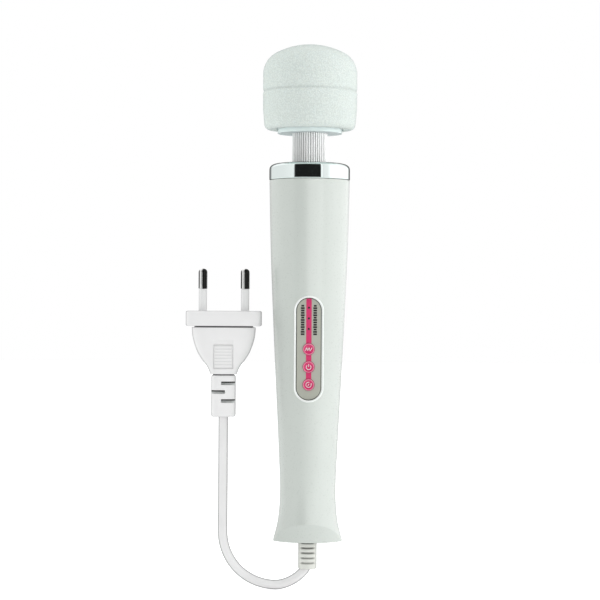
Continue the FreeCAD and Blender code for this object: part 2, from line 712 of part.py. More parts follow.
def head_form(inset):
    """The outer form, shrunk all round by inset: foot fillet, slight flare, shoulder arc and crown arc."""
    foot_fillet = max(HEAD_FOOT_FILLET - inset, 0.5)
    foot_r = HEAD_FOOT_R - inset
    side_r = HEAD_R - inset
    low = HEAD_BASE_Z + inset
    shoulder = SHOULDER_R - inset
    crown = CROWN_R - inset
    shoulder_x = HEAD_R - SHOULDER_R
    crown_z = HEAD_APEX_Z - CROWN_R
    shoulder_z = crown_z + math.sqrt((CROWN_R - SHOULDER_R) ** 2 - shoulder_x ** 2)
    meet = math.atan2(shoulder_z - crown_z, shoulder_x)

    def on(x, z, radius, angle):
        return (x + radius * math.cos(angle), z + radius * math.sin(angle))

    fillet_mid = on(foot_r - foot_fillet, low + foot_fillet, foot_fillet, -math.pi / 4)
    join = on(0, crown_z, crown, meet)
    edges = [line((0, low), (foot_r - foot_fillet, low)),
             arc((foot_r - foot_fillet, low), fillet_mid, (foot_r, low + foot_fillet)),
             line((foot_r, low + foot_fillet), (side_r, HEAD_FLARE_Z)),
             line((side_r, HEAD_FLARE_Z), (side_r, shoulder_z)),
             arc((side_r, shoulder_z), on(shoulder_x, shoulder_z, shoulder, meet / 2), join),
             arc(join, on(0, crown_z, crown, (meet + math.pi / 2) / 2), (0, crown_z + crown)),
             line((0, crown_z + crown), (0, low))]
    return spin_edges(edges)


def head_cover():
    return head_form(0).cut(head_form(COVER_THICK)).cut(rod(DISC_R + 0.1, DISC_Z, CORE_FLOOR_Z))


def head_core():
    """The rigid housing under the cover, split into a base that takes the neck and a cap."""
    outer = head_form(COVER_THICK + GAP)
    inner = head_form(COVER_THICK + GAP + CORE_WALL)
    below = DISC_Z - 1
    lip_r = HEAD_R - COVER_THICK - GAP - CORE_WALL - 0.1
    lip_bore, lip_z = 15.4, CORE_SPLIT_Z - 2.6
    boss_r, boss_z = 8.0, 189.9
    shaft_room_r, shaft_room_z = 4.6, 195.8
    floor_r, bridge_room_r, stop_r = 17.0, 16.0, 17.5
    screw = rod(FLANGE_SCREW_SHANK_R + GAP, DISC_Z + 1.5, BRIDGE_Z, 0, BRIDGE_SCREW_RING_R)
    base = outer.common(rod(REACH, below, CORE_SPLIT_Z)).fuse(rod(DISC_R, DISC_Z, CORE_FLOOR_Z))
    base = base.cut(inner.cut(rod(floor_r, below, CORE_FLOOR_Z)))
    base = base.cut(rod(bridge_room_r, CORE_FLOOR_Z, BRIDGE_Z))
    base = base.cut(rod(SLEEVE_R + 0.1, below, SLEEVE_HEAD[1] + 1)).cut(ring_of(screw, 3))
    base = base.cut(rod(SLEEVE_HEAD[0] + 0.2, SLEEVE_HEAD[1] - GAP, BRIDGE_Z))
    cap = outer.cut(rod(REACH, below, CORE_SPLIT_Z + GAP)).cut(inner)
    cap = cap.fuse(tube(lip_r, lip_bore, lip_z, CORE_SPLIT_Z + 1))
    cap = cap.fuse(tube(stop_r, lip_bore, CORE_SPLIT_Z + GAP, CORE_SPLIT_Z + 1))
    cap = cap.fuse(rod(boss_r, boss_z, HEAD_APEX_Z).common(outer))
    cap = cap.cut(rod(BEARING_R[3] + 0.02, boss_z - 1, BEARING_LOW_Z[1] + BEARING_HEIGHT))
    cap = cap.cut(rod(shaft_room_r, boss_z - 1, shaft_room_z))
    return base.removeSplitter(), cap.removeSplitter()


def bearing_bridge():
    """A flanged post that clamps the sleeve's top and carries the lower bearing above the drive hub."""
    flange_r, clamp_r, post_r = 15.5, 10.0, 8.0
    foot = CORE_FLOOR_Z + GAP
    top = BEARING_LOW_Z[0] + BEARING_HEIGHT
    post = rod(flange_r, foot, BRIDGE_Z).fuse(rod(clamp_r, SLEEVE_TOP_Z + GAP, BRIDGE_Z - 1))
    post = post.fuse(rod(post_r, foot, top))
    post = post.cut(rod(SHAFT_HOLE_R, DISC_Z, top)).cut(rod(BEARING_R[3] + 0.02, BEARING_LOW_Z[0], top + 1))
    return post.cut(ring_of(rod(FLANGE_SCREW_SHANK_R + 2 * GAP, foot - 1, top, 0, BRIDGE_SCREW_RING_R), 3))


def bridge_screws():
    head = rod(FLANGE_SCREW_HEAD_R, BRIDGE_Z + GAP, BRIDGE_Z + 1.1, 0, BRIDGE_SCREW_RING_R)
    shank = rod(FLANGE_SCREW_SHANK_R, DISC_Z + 2.0, BRIDGE_Z + 0.5, 0, BRIDGE_SCREW_RING_R)
    return ring_of(head.fuse(shank), 3)


def bearings():
    """Inner races, outer races and balls of the two deep-groove bearings, each kind as its own node."""
    shaft, inner, outer, rim = BEARING_R
    track = (inner + outer) / 2
    inners, outers, balls = [], [], []
    for low in BEARING_LOW_Z:
        middle = low + BEARING_HEIGHT / 2
        groove = Part.makeTorus(track, BALL_R + 0.04, V(0, 0, middle))
        inners.append(tube(inner, shaft, low, low + BEARING_HEIGHT).cut(groove))
        outers.append(tube(rim, outer, low, low + BEARING_HEIGHT).cut(groove))
        balls += [Part.makeSphere(BALL_R, V(track * math.cos(a), track * math.sin(a), middle))
                  for a in [2 * math.pi * i / BALLS for i in range(BALLS)]]
    return Part.makeCompound(inners), Part.makeCompound(outers), Part.makeCompound(balls)


def eccentric_weight():
    """A half-round steel weight on one side of a hub."""
    half = rod(WEIGHT_R, *WEIGHT_Z).common(box((-REACH, REACH), (-REACH, -1.0), WEIGHT_Z))
    weight = half.fuse(rod(WEIGHT_HUB_R, *WEIGHT_Z)).cut(rod(ECCENTRIC_SHAFT_R + 0.02, *WEIGHT_Z))
    return weight.removeSplitter()


# ---------------------------------------------------------------- cord and plug

def cable_path():
    """Down through the boot, a soft turn to the low point, a round loop and a straight rise."""
    top = V(0, 0, HEEL_Z - JACKET_INSET)
    turn = V(0, 0, HEEL_Z - CORD_STRAIGHT)
    low = V(CABLE_LOW[0], 0, CABLE_LOW[1])
    soft = Part.BezierCurve()
    soft.setPoles([turn, turn - V(0, 0, CORD_TURN_PULL[0]), low + V(CORD_TURN_PULL[1], 0, 0), low])
    centre = low + V(0, 0, CABLE_LOOP_R)
    slope = CABLE_LOOP_R * math.sqrt(0.5)
    side = V(PLUG_X, 0, centre.z)
    loop = Part.Arc(low, centre - V(slope, 0, slope), side)
    rise = Part.makeLine(side, V(PLUG_X, 0, CABLE_END_Z))
    return Part.Wire([Part.makeLine(top, turn), soft.toShape(), loop.toShape(), rise])


def strain_relief():
    """The moulded boot: a barb inside the heel, a ribbed taper outside, bored for the cord."""
    foot = HEEL_Z - BOOT_LENGTH
    edge_r, foot_r, top_r = BOOT_R
    top = HEEL_Z - GAP
    outside = spin([(0, foot), (edge_r, foot), (foot_r, foot + BOOT_BEVEL), (top_r, top), (0, top)])
    wide = BOOT_GROOVES["half_width"]
    for i in range(BOOT_GROOVES["count"]):
        low = foot + BOOT_GROOVES["first"] + BOOT_GROOVES["pitch"] * i
        high = low + BOOT_GROOVES["height"]
        ring = tube(2 * CORD_HOLE_R, BOOT_GROOVES["root_r"], low, high)
        outside = outside.cut(ring.common(box((-wide, wide), (-REACH, REACH), (low, high))))
    barb = rod(BOOT_BARB_R, FLOOR_Z + GAP, FLOOR_Z + 2.0)
    barb = barb.fuse(rod(CORD_HOLE_R - 0.1, HEEL_Z - 0.6, FLOOR_Z + 0.1))
    body = outside.fuse(barb).cut(rod(CABLE_CORE_R, HEEL_Z - 2.0, 0))
    return body.cut(pipe(cable_path(), CABLE_R + 0.03)).removeSplitter()


def mains_cable():
    """The round jacket, from inside the heel's boot, under and up to inside the plug's boot."""
    return pipe(cable_path(), CABLE_R)


def plug_boot():
    low, high = PLUG_BOOT_Z
    width, depth = PLUG_BOOT_SIZE
    boot = Part.makeBox(width, depth, high - low - GAP, V(-width / 2, -depth / 2, low))
    boot = boot.makeFillet(PLUG_BOOT_CORNER, upright_edges(boot))
    for side, z in PLUG_BOOT_SLOTS:
        high = z + PLUG_SLOT_HEIGHT
        slot = box(sorted((side * -PLUG_SLOT_OVERLAP, side * width)), (-depth, depth), (z, high))
        boot = boot.cut(slot.cut(rod(PLUG_SLOT_CORE_R, z - 1, high + 1)))
    boot = boot.cut(rod(CABLE_R + 0.03, low - 1, CABLE_END_Z + GAP)).cut(plug_wire_channels())
    return set_plug(boot)


def plug_wire(side, radius):
    reach = side * PIN_PITCH / 2
    near = side * PLUG_WIRE_X
    low, high, top = PLUG_WIRE_Z
    points = [(near, 0, CABLE_END_Z + 0.1), (near, 0, low), (reach, 0, high), (reach, 0, top)]
    return bent_rod(points, radius)


def plug_wire_channels():
    return plug_wire(-1, WIRE_R + 0.1).fuse(plug_wire(1, WIRE_R + 0.1))


def plug_body():
    """The moulded grip: a bell that widens from the boot to the bridge, with finger ribs front and back."""
    def bell(grow):
        wires = [rounded_bar(w, d + grow, min(w, d) * PLUG_BELL_CORNER, z) for w, d, z in PLUG_SECTIONS]
        return Part.makeLoft(wires, True, False)

    body = bell(0)
    proud = bell(2 * PLUG_RIBS["proud"])
    wide = PLUG_RIBS["half_width"]
    for i in range(PLUG_RIBS["count"]):
        z = PLUG_RIBS["first"] + PLUG_RIBS["pitch"] * i
        body = body.fuse(proud.common(box((-wide, wide), (-REACH, REACH), (z, z + PLUG_RIBS["height"]))))
    body = body.cut(plug_wire_channels())
    for side in (-1, 1):
        body = body.cut(rod(TERMINAL_R, PLUG_BODY_Z - 1.2, PLUG_FACE_Z, side * PIN_PITCH / 2))
    return set_plug(body)


def plug_bridge():
    """The hard block that holds the pins."""
    low = PLUG_BODY_Z + GAP
    width, depth = PLUG_BRIDGE_SIZE
    block = Part.makeBox(width, depth, PLUG_FACE_Z - low, V(-width / 2, -depth / 2, low))
    block = block.makeFillet(PLUG_BRIDGE_CORNER, upright_edges(block))
    for side in (-1, 1):
        x = side * PIN_PITCH / 2
        block = block.cut(rod(PIN_CORE_R + 0.02, low - 1, PLUG_FACE_Z + 1, x))
        block = block.cut(rod(SLEEVED_R + 0.02, SLEEVED_LOW_Z - GAP, PLUG_FACE_Z + 1, x))
    return set_plug(block)


def pin(side):
    """A pin whose bare tip is thicker than its sleeved core and ends in a dome."""
    x = side * PIN_PITCH / 2
    tip_z = PLUG_FACE_Z + PIN_LENGTH
    tip_low = tip_z - PIN_TIP
    dome_z = tip_z - PIN_R
    dome = Part.makeSphere(PIN_R, V(x, 0, dome_z)).common(rod(2 * PIN_R, dome_z, tip_z + 1, x))
    return rod(PIN_CORE_R, PLUG_BODY_Z + 0.3, tip_low + 1, x).fuse(rod(PIN_R, tip_low, dome_z, x)).fuse(dome)


def pin_sleeve(side):
    x = side * PIN_PITCH / 2
    top = PLUG_FACE_Z + PIN_LENGTH - PIN_TIP - GAP
    return rod(SLEEVED_R, SLEEVED_LOW_Z, top, x).cut(rod(PIN_CORE_R + 0.02, SLEEVED_LOW_Z - 1, top + 1, x))


# ---------------------------------------------------------------- build

def write_casing():
    front, rear, outside = casing_halves()
    keep("front_shell", front)
    keep("rear_shell", rear)
    keep("case_screws", case_screws())
    keep("screw_plugs", screw_plugs(outside))
    keep("chrome_collar", chrome_collar())


def write_panel():
    keep("control_panel", set_panel(control_panel()))
    keep("panel_overlay", set_panel(panel_overlay()))
    keep("panel_gasket", set_panel(panel_gasket()))
    for name, z in BUTTON_Z.items():
        keep(name, set_panel(button(z)))
    keep("tact_switches", set_panel(tact_switches()))
    keep("light_guides", set_panel(light_guides()))
    keep("control_board", set_panel(control_board()))
    chip, lamps = control_parts()
    keep("control_chip", set_panel(chip))
    keep("indicator_lamps", set_panel(lamps))
    keep("board_screws", Part.makeCompound(panel_screws() + power_screws()))


def write_power():
    keep("power_board", power_board())
    fuse, capacitor, chips = power_parts()
    keep("fuse", fuse)
    keep("smoothing_capacitor", capacitor)
    keep("power_chips", chips)
    keep("supply_wires", both_sides(supply_wire))
    keep("motor_leads", both_sides(motor_lead))
    keep("board_link", board_link())


def write_motor():
    keep("motor_can", motor_can())
    keep("motor_end_cap", motor_end_cap())
    keep("motor_bushes", motor_bushes())
    keep("motor_magnets", motor_magnets())
    core, windings = armature()
    keep("armature_core", core)
    keep("armature_windings", windings)
    keep("commutator", commutator())
    keep("brush_gear", both_sides(brush_gear))
    keep("motor_shaft", rod(SHAFT_R, *SHAFT_Z))
    keep("motor_damper", tube(DAMPER_R, CAN_R + GAP, *DAMPER_Z))
    keep("motor_drive_hub", drive_hub(MOTOR_HUB_Z, SHAFT_R))


def write_neck():
    keep("neck_mount", neck_mount())
    keep("neck_clamp_ring", neck_clamp_ring())
    keep("neck_screws", neck_screws())
    keep("neck_sleeve", neck_sleeve())
    keep("neck_spring", coil(NECK_SPRING))
    keep("drive_spring", coil(DRIVE_SPRING))


def write_head():
    base, cap = head_core()
    keep("head_core_base", base)
    keep("head_core_cap", cap)
    keep("head_cover", head_cover())
    keep("bearing_bridge", bearing_bridge())
    keep("bridge_screws", bridge_screws())
    inners, outers, balls = bearings()
    keep("bearing_inner_races", inners)
    keep("bearing_outer_races", outers)
    keep("bearing_balls", balls)
    keep("head_drive_hub", drive_hub(HEAD_HUB_Z, ECCENTRIC_SHAFT_R))
    keep("eccentric_shaft", rod(ECCENTRIC_SHAFT_R, *ECCENTRIC_SHAFT_Z))
    keep("eccentric_weight", eccentric_weight())


def write_cord():
    keep("strain_relief", strain_relief())
    keep("mains_cable", mains_cable())
    keep("plug_boot", plug_boot())
    keep("plug_body", plug_body())
    keep("plug_bridge", plug_bridge())
    keep("plug_wires", set_plug(both_sides(lambda side: plug_wire(side, WIRE_R))))
    keep("plug_pins", set_plug(both_sides(pin)))
    keep("pin_sleeves", set_plug(both_sides(pin_sleeve)))


os.makedirs("parts", exist_ok=True)
write_casing()
write_panel()
write_power()
write_motor()
write_neck()
write_head()
write_cord()
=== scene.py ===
"""Looks of the corded wand massager: shells, head, ribbed neck, panel, cord, plug and the studio round it.

Shapes are drawn in millimetres in the frame's own axes and written out in metres. Where a piece needs the
place of a frame part, it asks the frame; its own numbers are the sizes of details the frame leaves plain.
"""

import json
import math

import bmesh
import bpy
from mathutils import Matrix, Vector, noise

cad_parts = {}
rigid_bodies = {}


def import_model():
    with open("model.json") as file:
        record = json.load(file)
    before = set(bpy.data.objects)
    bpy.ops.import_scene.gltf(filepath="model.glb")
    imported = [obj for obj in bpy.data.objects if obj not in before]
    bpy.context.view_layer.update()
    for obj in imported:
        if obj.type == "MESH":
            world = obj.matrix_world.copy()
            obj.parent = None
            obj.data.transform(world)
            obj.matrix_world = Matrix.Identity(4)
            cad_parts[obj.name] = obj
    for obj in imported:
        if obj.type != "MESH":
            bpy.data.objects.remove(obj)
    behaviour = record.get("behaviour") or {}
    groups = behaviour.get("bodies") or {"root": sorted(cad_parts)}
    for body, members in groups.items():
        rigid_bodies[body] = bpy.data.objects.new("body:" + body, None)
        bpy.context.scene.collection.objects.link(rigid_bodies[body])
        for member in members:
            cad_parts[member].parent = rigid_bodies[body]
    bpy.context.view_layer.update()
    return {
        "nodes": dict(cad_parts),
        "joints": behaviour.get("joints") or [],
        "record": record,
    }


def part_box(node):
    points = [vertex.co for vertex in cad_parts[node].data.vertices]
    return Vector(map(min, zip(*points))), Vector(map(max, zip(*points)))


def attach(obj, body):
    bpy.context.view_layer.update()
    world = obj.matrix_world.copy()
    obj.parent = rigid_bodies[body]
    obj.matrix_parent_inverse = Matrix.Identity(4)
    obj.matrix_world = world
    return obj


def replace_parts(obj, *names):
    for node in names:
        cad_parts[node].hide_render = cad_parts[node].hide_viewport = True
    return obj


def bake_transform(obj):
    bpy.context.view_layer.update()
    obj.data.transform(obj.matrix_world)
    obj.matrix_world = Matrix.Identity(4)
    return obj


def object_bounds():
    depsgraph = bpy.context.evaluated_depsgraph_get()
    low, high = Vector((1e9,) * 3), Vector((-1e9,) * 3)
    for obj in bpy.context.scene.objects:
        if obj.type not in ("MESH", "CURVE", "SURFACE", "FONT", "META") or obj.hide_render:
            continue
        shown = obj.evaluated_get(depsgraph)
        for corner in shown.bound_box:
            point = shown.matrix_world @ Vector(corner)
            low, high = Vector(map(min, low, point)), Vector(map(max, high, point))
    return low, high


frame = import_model()

MM = 0.001
TAU = 2 * math.pi


def low_mm(node):
    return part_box(node)[0] / MM


def high_mm(node):
    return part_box(node)[1] / MM


# ---------------------------------------------------------------- driving dimensions, in millimetres

HEEL_Z = low_mm("front_shell").z
HANDLE_TOP_Z = low_mm("chrome_collar").z - 0.05
SPIGOT_TOP_Z = high_mm("front_shell").z
HANDLE_SIDE = [(15.6, HEEL_Z), (13.4, -11.8), (12.5, 0.0), (13.0, 17.0),
               (15.1, 59.0), (17.2, 107.0), (18.05, HANDLE_TOP_Z)]
HEEL_BEVEL_R = 20.0
HEEL_BEVEL_Y = 11.6
HEEL_BEVEL_TILT = math.radians(22.0)
CORD_HOLE_R = 4.2
HEEL_THICK = 2.5                # the floor of the heel
WALL = 2.0
SPIGOT_R = 16.7                 # the casing's neck, under the collar
SPIGOT_BORE_R = 14.55
SCREW_Z = (-4.0, 37.5, 93.5)    # the recesses in the back
SCREW_RECESS_R = 2.5
SCREW_RECESS_DEPTH = 1.4
NECK_PIVOT_Z = frame["joints"][0]["pos_m"][2] / MM
COLLAR_TOP_Z = high_mm("chrome_collar").z
COLLAR_R = high_mm("chrome_collar").x
SLEEVE_R = 7.95
SLEEVE_BORE_R = 6.5
FLUTES = 45                     # ribs round the sleeve
FLUTE_STEPS = 8
HEAD_R = high_mm("head_cover").x
HEAD_LOW_Z = low_mm("head_cover").z
HEAD_TOP_Z = high_mm("head_cover").z
DISC_Z = low_mm("head_core_base").z
HEAD_FOOT = (20.6, 2.6, 15.2)   # the foot's radius, its fillet and the radius of its opening
HEAD_FLARE_Z = 173.0            # where the flared foot meets the straight band
SHOULDER_R = 10.5
CROWN_R = 33.0
COVER_THICK = 2.3
GROOVE_DEPTH = 0.3              # the moulded line round the head's middle
GRAIN = 0.07                    # height of the silicone's pebbles
PLUG_X = (low_mm("plug_bridge").x + high_mm("plug_bridge").x) / 2
PIN_PITCH = 19.0
CABLE_R = 2.1
CORD_TURN_Z = HEEL_Z - 9.5      # where the cord starts to bend
CORD_TOP_Z = HEEL_Z - 1.0
CORD_END_Z = 46.0
CORD_LOW_X = -14.3
CORD_TURN_PULL = (4.5, 6.5)     # how far the soft turn runs on straight at each of its ends
BOOT_LENGTH = 12.5
BOOT_R = 4.15
BOOT_GROOVES = 5
PLUG_WIDTHS = [(11.4, 53.2), (14.9, 57.2), (19.7, 60.4), (23.9, 64.0), (27.8, 70.0), (28.8, 75.3)]
PLUG_DEPTHS = [(9.2, 53.2), (10.2, 57.2), (11.0, 60.4), (11.8, 64.0), (12.4, 70.0), (12.6, 75.3)]
PLUG_BOOT_SIZE = (11.0, 9.0)
PLUG_BOOT_SLOTS = ((1, 41.0), (-1, 45.0), (1, 48.9))
BRIDGE_SIZE = (34.0, 13.7)
LEAD_R = 0.63

PRESS = next(j for j in frame["joints"] if j["name"] == "wave_press")
PANEL_TILT = math.atan2(PRESS["axis"][2], PRESS["axis"][1])
PANEL_PLACE = Matrix.Translation((0, -14.1, 65.5)) @ Matrix.Rotation(PANEL_TILT, 4, "X")
PANEL_R = 5.35
PANEL_HALF = 22.5
BUTTON_Z = {"wave_button": 0.0, "power_button": -7.9, "speed_button": -15.8}
LIGHT_Z = (18.3, 13.6, 8.9)
OPENING_GROW = 0.32             # how far the casing's opening stands clear of the panel
BUTTON_HOLE_R = 2.72
ICON_Y = (-0.70, -0.35)
PRINT_Y = -0.2                  # the face of the film that is printed on

# Pieces that a light is kept to
SHELLS = bpy.data.collections.new("shells")
SLEEVES = bpy.data.collections.new("sleeves")


# ---------------------------------------------------------------- mesh helpers

def piece(name, verts, faces, slot, sharp=35.0, shade=None, look=None):
    """A mesh object from millimetre points, smooth except along edges sharper than the given angle.

    shade gives each point's share of painted shade in hollows and creases, 0 to 1, which the material darkens.
    look names a material other than the slot's own.
    """
    mesh = bpy.data.meshes.new(name)
    mesh.from_pydata([Vector(v) * MM for v in verts], [], faces)
    mesh.materials.append(MATERIALS[look or slot])
    if shade:
        layer = mesh.attributes.new("hollow_shade", "FLOAT", "POINT")
        for item, value in zip(layer.data, shade):
            item.value = value
    obj = bpy.data.objects.new(name, mesh)
    bpy.context.scene.collection.objects.link(obj)
    tidy_normals(obj, sharp)
    return obj


def tidy_normals(obj, sharp=35.0):
    """Merge doubles, point faces outwards and set smooth shading with sharp creases."""
    bm = bmesh.new()
    bm.from_mesh(obj.data)
    bmesh.ops.remove_doubles(bm, verts=bm.verts, dist=1e-7)
    bmesh.ops.recalc_face_normals(bm, faces=bm.faces)
    bm.to_mesh(obj.data)
    bm.free()
    crease(obj, sharp)


def crease(obj, sharp):
    """Smooth shading, except along edges sharper than the given angle."""
    obj.data.shade_smooth()
    obj.data.set_sharp_from_angle(angle=math.radians(sharp))


def hold(obj, body, node_name):
    """Fix a piece to a body, in place of a frame part."""
    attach(obj, body)
    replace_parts(obj, node_name)


def skin(rings, loop=False):
    """Faces over a stack of rings of equal length.

    A loop joins the last ring to the first; otherwise the ends are capped. A ring may hold a single point,
    which closes the surface with a fan.
    """
    verts, starts, faces = [], [], []
    for ring in rings:
        starts.append(len(verts))
        verts.extend(ring)
    pairs = [(i, i + 1) for i in range(len(rings) - 1)]
    if loop:
        pairs.append((len(rings) - 1, 0))
    for low, high in pairs:
        a, b = starts[low], starts[high]
        na, nb = len(rings[low]), len(rings[high])
        for k in range(max(na, nb)):
            n = (k + 1) % max(na, nb)
            if na == 1:
                faces.append((a, b + n, b + k))
            elif nb == 1:
                faces.append((a + k, a + n, b))
            else:
                faces.append((a + k, a + n, b + n, b + k))
    if not loop:
        for index in (0, len(rings) - 1):
            if len(rings[index]) > 1:
                faces.append(tuple(range(starts[index], starts[index] + len(rings[index]))))
    return verts, faces


def circle(radius, z, count, x=0.0, y=0.0):
    if radius < 1e-6:
        return [(x, y, z)]
    turns = [TAU * k / count for k in range(count)]
    return [(x + radius * math.cos(t), y + radius * math.sin(t), z) for t in turns]


def lathe(profile, count=96, x=0.0, y=0.0):
    """A solid of revolution. A profile that stays clear of the axis is a closed loop, like a tube's section."""
    loop = profile[0][0] > 1e-6 and profile[-1][0] > 1e-6
    return skin([circle(r, z, count, x, y) for r, z in profile], loop)


def bend(centre, radius, start, end, steps=6):
    """Points on an arc, angles in degrees, from start to end."""
    angles = [math.radians(start + (end - start) * i / steps) for i in range(steps + 1)]
    return [(centre[0] + radius * math.cos(a), centre[1] + radius * math.sin(a)) for a in angles]


def smooth_through(stations, value):
    """A Catmull-Rom curve through (radius, height) stations, read at a height."""
    count = len(stations)
    for i in range(count - 1):
        r1, z1 = stations[i]
        r2, z2 = stations[i + 1]
        if value <= z2 or i == count - 2:
            break
    t = max(0.0, min(1.0, (value - z1) / (z2 - z1)))

    def slope(k):
        a, b = stations[max(k - 1, 0)], stations[min(k + 1, count - 1)]
        return (b[0] - a[0]) / (b[1] - a[1])

    span = z2 - z1
    h1 = 2 * t ** 3 - 3 * t ** 2 + 1
    h2 = -2 * t ** 3 + 3 * t ** 2
    h3 = t ** 3 - 2 * t ** 2 + t
    h4 = t ** 3 - t ** 2
    return h1 * r1 + h2 * r2 + h3 * span * slope(i) + h4 * span * slope(i + 1)


def steps_between(low, high, size):
    count = max(1, round((high - low) / size))
    return [low + (high - low) * i / count for i in range(count + 1)]


def cut(obj, *cutters):
    """Subtract each cutter object from obj and remove the cutters."""
    for tool in cutters:
        modifier = obj.modifiers.new("cut", "BOOLEAN")
        modifier.object = tool
        modifier.operation = "DIFFERENCE"
        modifier.solver = "EXACT"
        modifier.material_mode = "TRANSFER"
        depsgraph = bpy.context.evaluated_depsgraph_get()
        mesh = bpy.data.meshes.new_from_object(obj.evaluated_get(depsgraph), depsgraph=depsgraph)
        obj.modifiers.clear()
        old = obj.data
        obj.data = mesh
        bpy.data.meshes.remove(old)
        bpy.data.objects.remove(tool)


def cutter(verts, faces, look=None):
    """A throwaway solid for cut(). The faces it cuts take its material, if it has one."""
    mesh = bpy.data.meshes.new("cutter")
    mesh.from_pydata([Vector(v) * MM for v in verts], [], faces)
    if look:
        mesh.materials.append(MATERIALS[look])
    obj = bpy.data.objects.new("cutter", mesh)
    bpy.context.scene.collection.objects.link(obj)
    tidy_normals(obj)
    return obj


def placed(verts, matrix):
    return [matrix @ Vector(v) for v in verts]


def stadium(radius, half, grow=0.0, steps=20):
    """(x, z) points round a slot shape, anticlockwise from the right of the upper end."""
    radius, half = radius + grow, half + grow
    top = bend((0, half - radius), radius, 0, 180, steps)
    return top + bend((0, -(half - radius)), radius, 180, 360, steps)


def slab(outline, low, high):
    """A flat plate between two y values from an (x, z) outline."""
    return skin([[(x, y, z) for x, z in outline] for y in (low, high)])


# ---------------------------------------------------------------- materials

MATERIALS = {}                  # by the frame's slot names, with a few more for details


def new_material(name):
    """Start a material and enter it in MATERIALS; gives back its node tree and shader."""
    material = bpy.data.materials.new(name)
    material.use_nodes = True
    MATERIALS[name] = material
    return material.node_tree, material.node_tree.nodes["Principled BSDF"]


def set_input(socket, value):
    """Link an input to another node's output, or give it a plain value. A colour may leave out its alpha."""
    if isinstance(value, bpy.types.NodeSocket):
        socket.id_data.links.new(value, socket)
    elif socket.type == "RGBA" and len(value) == 3:
        socket.default_value = (*value, 1)
    else:
        socket.default_value = value


def feed(target, **values):
    """Set a node's inputs and settings by name, with underscores for spaces."""
    for key, value in values.items():
        name = key.replace("_", " ")
        if name in target.inputs:
            set_input(target.inputs[name], value)
        else:
            setattr(target, key, value)
    return target


def node(tree, kind, **values):
    return feed(tree.nodes.new(kind), **values)


def arithmetic(tree, operation, *values):
    made = node(tree, "ShaderNodeMath", operation=operation)
    for socket, value in zip(made.inputs, values):
        set_input(socket, value)
    return made.outputs[0]


def object_point(tree):
    return node(tree, "ShaderNodeTexCoord").outputs["Object"]


def noise_value(tree, point, scale, detail=3.0, roughness=0.55):
    texture = node(tree, "ShaderNodeTexNoise", Vector=point, Scale=scale, Detail=detail, Roughness=roughness)
    return texture.outputs["Fac"]


def mapped(tree, value, low, high, start=0.3, end=0.7):
    """value's range from start to end, turned into low to high."""
    made = node(tree, "ShaderNodeMapRange", Value=value, From_Min=start, From_Max=end,
                To_Min=low, To_Max=high)
    return made.outputs["Result"]


def mixed_colour(tree, factor, first, second, blend="MIX"):
    made = node(tree, "ShaderNodeMix", data_type="RGBA", blend_type=blend, Factor=factor, A=first, B=second)
    return made.outputs["Result"]


def bumped(tree, shader, height, distance, strength=1.0):
    bump = node(tree, "ShaderNodeBump", Height=height, Distance=distance, Strength=strength)
    feed(shader, Normal=bump.outputs["Normal"])


def edge_value(tree, edge):
    """0 on faces seen square on, rising to 1 on faces seen nearly edge on, between edge's two values."""
    facing = node(tree, "ShaderNodeLayerWeight").outputs["Facing"]
    return mapped(tree, facing, 0.0, 1.0, *edge)


def scaled(tree, value, factor):
    """(1 - value) * factor, for inputs that fade out towards the edge."""
    return mapped(tree, value, factor, 0.0, 0.0, 1.0)


def tinted(colour, factor):
    return tuple(min(1.0, c * factor) for c in colour)


def grey_ramp(tree, factor, stops):
    """A colour ramp of grey levels from (position, level) pairs."""
    ramp = node(tree, "ShaderNodeValToRGB", Fac=factor)
    elements = ramp.color_ramp.elements
    while len(elements) < len(stops):
        elements.new(0.5)
    for element, (position, level) in zip(elements, stops):
        element.position = position
        element.color = (level, level, level, 1)
    return ramp.outputs["Color"]


def hollow_darkened(tree, colour_out, dark):
    """Painted shade in hollows: darken a colour where the mesh's per-point shade value is high. A mesh without
    the value is left as it is.
    """
    hollow_shade = node(tree, "ShaderNodeAttribute", attribute_name="hollow_shade").outputs["Fac"]
    return mixed_colour(tree, hollow_shade, colour_out, (dark, dark, dark), "MULTIPLY")


def edge_darkened(tree, shader, colour_out, edge, dark, coat=0.0):
    """Painted shade along the outline: feed the base colour through a darker tint at grazing angles, where the
    gloss fades too.
    """
    rim = edge_value(tree, edge)
    feed(shader, Base_Color=mixed_colour(tree, rim, colour_out, (dark, dark, dark * 1.02), "MULTIPLY"),
         Specular_IOR_Level=scaled(tree, rim, 0.5))
    if coat:
        feed(shader, Coat_Weight=scaled(tree, rim, coat))


def surface(name, colour, rough, metal=0.0, coat=0.0, grain=900.0, depth=0.00001, vary=0.04,
            edge=(0.66, 0.95), dark=0.55, hollow_shade=None):
    """A moulded or machined surface: slow and fine colour drift, uneven gloss, a fine skin texture, and painted
    shade along the outline and in hollows.
    """
    tree, shader = new_material(name)
    point = object_point(tree)
    slow = mapped(tree, noise_value(tree, point, 55.0), 0, 1)
    fine = noise_value(tree, point, grain, 4.0)
    colour_out = mixed_colour(tree, slow, tinted(colour, 1 - vary), tinted(colour, 1 + vary))
    if hollow_shade is not None:
        colour_out = hollow_darkened(tree, colour_out, hollow_shade)
    edge_darkened(tree, shader, colour_out, edge, dark, coat)
    bumped(tree, shader, fine, depth)
    feed(shader, Roughness=mapped(tree, fine, rough * 0.85, rough * 1.15), Metallic=metal,
         Coat_Roughness=0.15)


